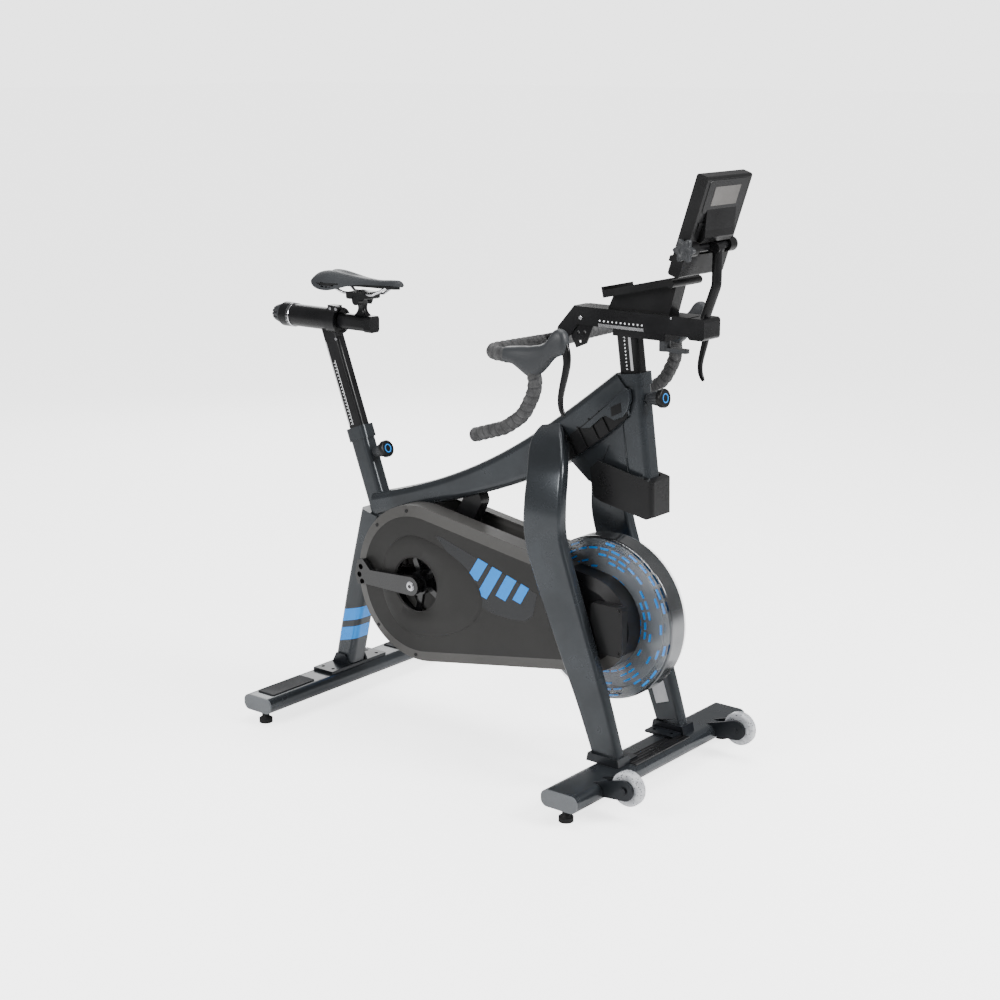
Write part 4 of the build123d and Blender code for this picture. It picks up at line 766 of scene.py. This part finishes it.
# ---- knobs ----
def pull_knob(name, mouth, up, out, drop, tube_half, body):
    """A fluted cone and a round black cap with a plain blue ring, on the tube's forward normal."""
    start = mouth - up * drop + out * tube_half
    neck = [(-16.0, 0.01), (-16.0, 4.9), (1.0, 4.9), (1.0, 11.0), (9.0, 12.0), (12.0, 14.0), (31.0, 18.5),
            (34.5, 18.0), (34.5, 0.01)]
    grip = turned(neck, start, out, steps=72, flutes=12, flute_depth=1.6, fluted=[0, 0, 0, 0, 0, 1, 1, 0, 0])
    piece(f"{name}_grip", *grip, knob_grey, body, "knob_plastic", replaces=(name,))
    cap = turned([(34.6, 0.01), (34.6, 19.0), (35.5, 21.0), (37.0, 22.0), (46.0, 22.0), (48.4, 20.8), (49.4, 18.5),
                  (49.0, 15.0), (48.6, 0.01)], start, out, steps=64)
    piece(f"{name}_cap", *cap, moulded_black, body, "knob_plastic")
    ring = turned([(48.4, 8.6), (49.2, 8.6), (49.2, 11.2), (48.4, 11.2), (48.4, 8.6)], start, out, steps=48)
    piece(f"{name}_ring", ring[0], loft_faces(5, 48, closed_ends=False), blue_print, body, "knob_plastic")


pull_knob("seat_knob", SEAT_MOUTH, SEAT_UP, SEAT_OUT, 76.0, 28.0, "seat_knob")
pull_knob("head_knob", HEAD_MOUTH, HEAD_UP, HEAD_OUT, 60.0, 32.0, "head_knob")


def end_knob():
    """The ribbed end knob of the saddle slide: a taper with twelve flutes, and a bright ring in front of it."""
    start = np.array([corner("slide_tube", 0, 0), 0.0, SLIDE_Z])
    profile = [(-11.0, 0.01), (-11.0, 7.9), (0.4, 7.9), (0.4, 27.5), (2.0, 28.4), (9.0, 28.0), (11.0, 26.6),
               (30.0, 21.0), (35.0, 18.6), (37.6, 14.0), (38.3, 8.0), (38.3, 0.01)]
    flutes = [0, 0, 0, 0, 0, 0, 1, 1, 1, 0.3, 0, 0]
    points, faces = turned(profile, start, (-1.0, 0.0, 0.0), steps=96, flutes=12, flute_depth=4.2, fluted=flutes)
    piece("slide_knob_grip", points, faces, knob_grey, "slide_knob", "knob_plastic", replaces=("slide_knob",))
    collar = turned([(36.0, 29.2), (36.0, 31.2), (38.0, 32.0), (46.0, 32.0), (48.0, 31.2), (48.0, 29.2), (36.0, 29.2)],
                    start - np.array([48.0 - 34.0 - 2.0, 0.0, 0.0]), (1.0, 0.0, 0.0), steps=64)
    piece("slide_ring", collar[0], loft_faces(7, 64, closed_ends=False), chrome, "seat_post", "black_metal")


end_knob()


def star_knob():
    """Radius 22.5 plus 4.3 times the cosine of six times the angle; the rim is rounded over by a quarter circle."""
    centre = np.array([middle("tilt_knob", 0), corner("tilt_knob", 0, 1), middle("tilt_knob", 2)])
    layers = ((44.0, 3.9), (18.2, 3.9), (18.0, 14.0), (15.5, 17.0), (12.0, 22.5), (3.0, 22.5), (0.8, 20.5), (0.0, 17.0),
              (0.4, 9.0), (1.6, 8.0), (1.6, 0.02))
    depth, radius = np.array(layers).T
    angle = np.linspace(0, 2 * pi, 96, endpoint=False)
    lobes = np.clip((radius - 8.0) / 14.5, 0.0, 1.0)[:, None] * 4.3 * np.cos(6 * angle)[None, :]
    reach = radius[:, None] + lobes
    grid = np.stack([centre[0] + reach * np.cos(angle), centre[1] + depth[:, None] + 0 * reach,
                     centre[2] + reach * np.sin(angle)], axis=-1)
    piece("tilt_star", grid.reshape(-1, 3), loft_faces(len(layers), 96), knob_grey, "tilt_knob", "knob_plastic",
          replaces=("tilt_knob",), crease=50.0)


star_knob()


# ---- printed marks and small fittings ----
def dots(count, start, step, first, second, radius, depth=0.35):
    """A row of small round plates: each is the one before, moved by the step."""
    return merged([prism(circle(radius, 12), np.asarray(start, float) + i * np.asarray(step, float), first, second,
                         depth) for i in range(count)])


def bar_mark(length, width, start, along, across, depth=0.3):
    outline = [(0, -width / 2), (length, -width / 2), (length, width / 2), (0, width / 2)]
    return prism(outline, start, along, across, depth)


SEAT_SIDE = SEAT_MOUTH + np.array([0.0, corner("seat_post", 0, 1) + 0.3, 0.0])
row = dots(20, SEAT_SIDE + SEAT_UP * 10.0 - SEAT_OUT * 8.5, SEAT_UP * 8.6, SEAT_UP, SEAT_OUT, 1.7, depth=-0.55)
piece("seat_post_dots", *row, white_print, "seat_post", "black_metal")
line = bar_mark(172.0, 1.3, SEAT_SIDE + SEAT_UP * 8.0 - SEAT_OUT * 4.0, SEAT_UP, SEAT_OUT, depth=-0.55)
piece("seat_post_line", *line, white_print, "seat_post", "black_metal")


def corner_strip():
    """A bright strip bent round the post's rear right corner: a quarter ring of two radii, carried up the post."""
    angle = np.linspace(pi * 0.98, pi * 1.5, 9)
    arc = np.stack([np.cos(angle), np.sin(angle)], axis=1)
    corner_centre = np.array([-16.0, -7.0])
    outer, inner = corner_centre + 9.25 * arc, corner_centre + 8.6 * arc
    return prism(np.vstack([outer, inner[::-1]]), SEAT_MOUTH + SEAT_UP * 8.0, SEAT_OUT, LEFTWARD, 224.0)


piece("seat_post_strip", *corner_strip(), chrome, "seat_post", "black_metal")

head_face = HEAD_MOUTH + np.array([0.0, -17.7, 0.0]) - HEAD_OUT * 4.0
row = dots(10, head_face + HEAD_UP * 10.0, HEAD_UP * 8.0, HEAD_UP, HEAD_OUT, 1.9, depth=-0.55)
piece("head_post_dots", *row, white_print, "head_post", "black_metal")
strip = bar_mark(76.0, 7.0, head_face + HEAD_UP * 6.0 + HEAD_OUT * 14.0, HEAD_UP, HEAD_OUT, depth=-0.6)
piece("head_post_strip", *strip, chrome, "head_post", "black_metal")

beam_side = np.array([0.0, corner("bar_beam", 0, 1) + 0.2, 0.0])
beam_low = corner("bar_beam", 1, 2) - 42.0
row = dots(11, beam_side + (378.0, 0.0, beam_low + 14.0), FORWARD * 11.5, FORWARD, UPWARD, 2.1, depth=0.5)
piece("beam_dots", row[0] - (0, 0.55, 0), row[1], white_print, "handlebar", "black_metal")
strip = bar_mark(124.0, 7.0, beam_side + (374.0, -0.5, beam_low + 4.0), FORWARD, UPWARD, depth=0.6)
piece("beam_scale", *strip, bright_rail, "handlebar", "black_metal")


# ---- slide clamp, screws and bolts ----
def clamp_ear():
    """The clamp's upper ear: a plate whose outline is an arc over the tube and a rounded front corner."""
    x0, z0 = corner("slide_clamp", 1, 0), corner("slide_clamp", 1, 2) - 15.0
    outline = [(x0 - 30, z0 - 3), (x0 - 2, z0 - 3), (x0 + 6, z0), (x0 + 11, z0 + 6), (x0 + 10, z0 + 11),
               (x0 + 3, z0 + 14.5), (x0 - 10, z0 + 15), (x0 - 22, z0 + 13), (x0 - 29, z0 + 6)]
    plate = prism(outline, (0.0, -12.0, 0.0), FORWARD, UPWARD, 12.0)
    return plate, (x0, z0)


ear, (ear_x, ear_z) = clamp_ear()
piece("slide_clamp_ear", *ear, satin_black, "seat_post", "black_metal")
ear_screws = [socket_screw((ear_x - 17.0, -24.2, ear_z + 7.0), RIGHTWARD, 4.0, 2.0),
              socket_screw((ear_x + 3.0, -24.2, ear_z + 7.0), RIGHTWARD, 4.0, 2.0),
              socket_screw((ear_x - 8.0, -14.2, ear_z - 72.0), RIGHTWARD, 3.6, 2.0)]
piece("slide_clamp_screws", *merged(ear_screws), screw_steel, "seat_post", "screw_steel")

(beam_rear, beam_right, _), (beam_front, _, beam_top) = np.array(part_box("bar_beam")) / MM
beam_screws = [socket_screw((beam_rear + 74.0, beam_right, beam_top - 26.0), RIGHTWARD, 4.6, 1.6),
               socket_screw((beam_front - 46.0, beam_right, beam_top - 5.0), RIGHTWARD, 2.4, 0.9)]
piece("beam_screws", *merged(beam_screws), screw_steel, "handlebar", "screw_steel")
for side_name, sign in SIDES:
    bolt = socket_screw((CRANK[0], sign * (corner("crank_left", 1, 1) - 0.2), CRANK[2]), LEFTWARD * sign, 9.5, 3.0)
    piece(f"crank_bolt_{side_name}", *bolt, gloss_alloy, "crank", "crank_alloy")


# ---- cover plate and printed bars ----
def cover_plate():
    """A raised plate round the crank. Its outer edge is a half circle of 114 behind the crank, stretched to a
    blunt point 216 ahead by the cosine to the power 1.3; the inner edge is a circle. Straight spokes join the
    two edges, over a bevelled height."""
    angle = np.linspace(0, 2 * pi, 120, endpoint=False)
    c, s = np.cos(angle), np.sin(angle)
    outer_x = np.where(c < 0, 114.0 * c, 216.0 * np.abs(c) ** 1.3)
    outer_z = 130.0 * s - 4.0
    inner_x, inner_z = 71.0 * c, 71.0 * s
    rows = ((0.0, -1.0), (0.0, 0.5), (0.02, 1.5), (0.5, 1.9), (0.93, 1.9), (0.985, 0.9), (1.0, -1.0), (0.0, -1.0))
    share, height = np.array(rows).T[:, :, None]
    x = CRANK[0] + inner_x * (1 - share) + outer_x * share
    z = CRANK[2] + inner_z * (1 - share) + outer_z * share
    y = -(COVER_FACE + height) * np.ones_like(x)
    grid = np.stack([x, y, z], axis=-1)
    return grid.reshape(-1, 3), loft_faces(len(rows), len(angle), closed_ends=False)


piece("cover_plate", *cover_plate(), cover_right, "frame", "cover_plastic", crease=40.0)

face_origin = np.array([CRANK[0], -COVER_FACE + 0.3, CRANK[2]])
film = [(66, 137), (86, 137), (382, 48), (370, -8), (346, -26), (300, -30), (250, -27), (205, -14), (150, 60)]
piece("cover_film", *prism(film, face_origin, FORWARD, UPWARD, 0.7), decal_film, "frame", "cover_plastic")
BARS = (((202, 104), (232, 95), (200, 46), (170, 55)), ((246, 91), (276, 82), (228, 6), (198, 15)),
        ((290, 78), (320, 69), (286, 12), (256, 21)), ((334, 65), (358, 57), (332, 14), (308, 21)))
bars = merged([prism(outline, face_origin, FORWARD, UPWARD, 1.0) for outline in BARS])
piece("cover_bars", *bars, blue_print, "frame", "cover_plastic")


# ---- trough and plate on the beam's sides, and the ribbed strip on the front base ----
def bevelled_plate(outline, origin, first, second, depth, bevel):
    """A flat outline made a plate whose top edge is pulled in by the bevel, towards the outline's middle."""
    outline = np.asarray(outline, float)
    centre = outline.mean(axis=0)
    reach = np.linalg.norm(outline - centre, axis=1, keepdims=True)
    drawn_in = centre + (outline - centre) * (1.0 - bevel / reach)
    normal = np.cross(first, second)
    rows = ((outline, 0.0), (outline, depth - bevel), (drawn_in, depth))
    rings = [np.asarray(origin, float) + ring[:, :1] * first + ring[:, 1:2] * second + height * normal
             for ring, height in rows]
    return np.vstack(rings), loft_faces(len(rings), len(outline))


TROUGH = ((300, 742), (386, 803), (458, 862), (464, 900), (454, 928), (385, 872), (340, 834), (300, 804))
PLATE = ((334, 824), (385, 868), (456, 932), (466, 928), (469, 905), (462, 880), (450, 864), (428, 854), (404, 862),
         (391, 856), (360, 828))
WINDOW = ((418, 884), (446, 898), (449, 876), (421, 862))
BEAM_HALF = 29.0


def in_turn(points, sign):
    """The outline, with its two coordinates changed over on the left, where the two directions are."""
    return [(b, a) for a, b in points] if sign > 0 else list(points)


for side_name, sign in SIDES:
    origin = np.array([0.0, sign * BEAM_HALF, 0.0])
    first, second = (UPWARD, FORWARD) if sign > 0 else (FORWARD, UPWARD)
    tray_parts = [bevelled_plate(in_turn(TROUGH, sign), origin, first, second, 6.5, 1.2)]
    for share in (0.12, 0.32, 0.52, 0.70):
        low = np.array([300.0, 744.0]) + share * np.array([158.0, 118.0])
        rib = [low + (-3, 2), low + (3, 0), low + (-24, 42), low + (-30, 44)]
        tray_parts.append(bevelled_plate(in_turn(rib, sign), origin, first, second, 10.0, 1.5))
    piece(f"beam_trough_{side_name}", *merged(tray_parts), moulded_black, "frame", "cover_plastic")
    piece(f"beam_plate_{side_name}", *bevelled_plate(in_turn(PLATE, sign), origin, first, second, 11.0, 1.5),
          slate_paint, "frame", "frame_paint")
    piece(f"plate_window_{side_name}", *bevelled_plate(in_turn(WINDOW, sign), origin, first, second, 11.6, 0.5),
          moulded_black, "frame", "cover_plastic")


def base_grip():
    """A ribbed strip on the front base between the legs: a row of flat ridges with sloping sides, carried
    across the base."""
    top = corner("front_base", 1, 2)
    front = corner("front_base", 1, 0) - 8.0
    outline = [(0.0, -1.5), (0.0, 1.8)]
    for start in (2.0, 12.0, 22.0, 32.0):
        outline += [(start, 1.8), (start + 1.2, 0.4), (start + 4.0, 0.4), (start + 5.2, 1.8)]
    outline += [(44.0, 1.8), (44.0, -1.5)]
    outline = [(front - 44.0 + x, top + z) for x, z in outline]
    return prism(outline, (0.0, 112.0, 0.0), FORWARD, UPWARD, 224.0)


piece("base_grip", *base_grip(), satin_black, "frame", "black_metal")


# ---- blank labels and the screen's back ----
leg_up = np.array([-0.337, 0.0, 0.941])
leg_forward = np.array([0.941, 0.0, 0.337])
label = [(-31, -19), (31, -19), (31, 19), (-31, 19)]
leg_face = np.array([463.0, LEG_OUTER - LEG_THICK + 0.3, 172.0])
piece("leg_label", *prism(label, leg_face, leg_up, leg_forward, -0.8), label_white, "frame", "end_cap")

SCREEN_LEAN = radians(18.0)
screen_up = np.array([sin(SCREEN_LEAN), 0.0, cos(SCREEN_LEAN)])
screen_out = np.array([cos(SCREEN_LEAN), 0.0, -sin(SCREEN_LEAN)])
screen_back = np.array([REAR_X + 1046.0, 0.0, 1204.0]) + screen_out * 29.7
back_panel = [(-76, 152), (-76, 216), (-70, 221), (70, 221), (76, 216), (76, 152), (70, 147), (-70, 147)]
piece("screen_back_panel", *bevelled_plate(back_panel, screen_back, LEFTWARD, screen_up, 1.6, 1.0), satin_black,
      "screen", "shell_plastic")
name_plate = [(-50, 163), (50, 163), (50, 206), (-50, 206)]
piece("screen_label", *bevelled_plate(name_plate, screen_back, LEFTWARD, screen_up, 2.3, 0.5), label_silver,
      "screen", "shell_plastic")


# ---- stage, light and camera ----
FLOOR_REACH = 60
floor_material = plain("studio_floor", (0.90, 0.90, 0.90), (0.88, 0.88, 0.88), (0.7, 0.8))
floor_tree = floor_material.node_tree
floor_shader = floor_tree.nodes["Principled BSDF"]
floor_shader.inputs["Emission Color"].default_value = (1.0, 1.0, 1.0, 1.0)
floor_seen = add(floor_tree, "ShaderNodeLightPath").outputs["Is Camera Ray"]
floor_tree.links.new(ramp(floor_tree, floor_seen, 0.0, 1.0, 0.25, 2.6), floor_shader.inputs["Emission Strength"])
floor_mesh = bpy.data.meshes.new("studio_floor")
floor_mesh.from_pydata([(-FLOOR_REACH, -FLOOR_REACH, 0), (FLOOR_REACH, -FLOOR_REACH, 0),
                        (FLOOR_REACH, FLOOR_REACH, 0), (-FLOOR_REACH, FLOOR_REACH, 0)], [], [(0, 1, 2, 3)])
floor_mesh.materials.append(floor_material)
placed("studio_floor", floor_mesh)

world = bpy.data.worlds.new("studio")
bpy.context.scene.world = world
world.use_nodes = True
backdrop = world.node_tree.nodes["Background"]
backdrop.inputs["Color"].default_value = (1.0, 1.0, 1.0, 1.0)
seen = add(world.node_tree, "ShaderNodeLightPath").outputs["Is Camera Ray"]
strength = ramp(world.node_tree, seen, 0.0, 1.0, 0.36, 3.0)
world.node_tree.links.new(strength, backdrop.inputs["Strength"])


def lamp(name, place, target, size, power):
    """A square soft light that faces its target."""
    data = bpy.data.lights.new(name, "AREA")
    data.size = size
    data.energy = power
    made = placed(name, data)
    made.location = place
    way = np.asarray(target, float) - np.asarray(place, float)
    made.rotation_euler = Vector(way).to_track_quat("-Z", "Y").to_euler()


lamp("key_light", (3.2, 0.8, 2.6), (0.3, 0.0, 0.7), 1.4, 190.0)
lamp("side_light", (-0.6, -3.6, 2.4), (0.0, 0.0, 0.7), 1.8, 150.0)
lamp("top_light", (0.2, 0.4, 3.6), (0.0, 0.0, 0.6), 2.4, 110.0)
lamp("back_light", (-3.0, 2.6, 2.2), (0.0, 0.0, 0.7), 2.0, 60.0)

CAMERA_ELEVATION = 14.07
CAMERA_AZIMUTH = 38.8
camera_data = bpy.data.cameras.new("camera")
camera_data.lens = 65.36
camera_data.sensor_width = 36.0
camera = placed("camera", camera_data)
camera.location = (2.7544, -3.3453, 1.6797)
camera.rotation_euler = (radians(90.0 - CAMERA_ELEVATION), 0.0, radians(CAMERA_AZIMUTH))
bpy.context.scene.camera = camera
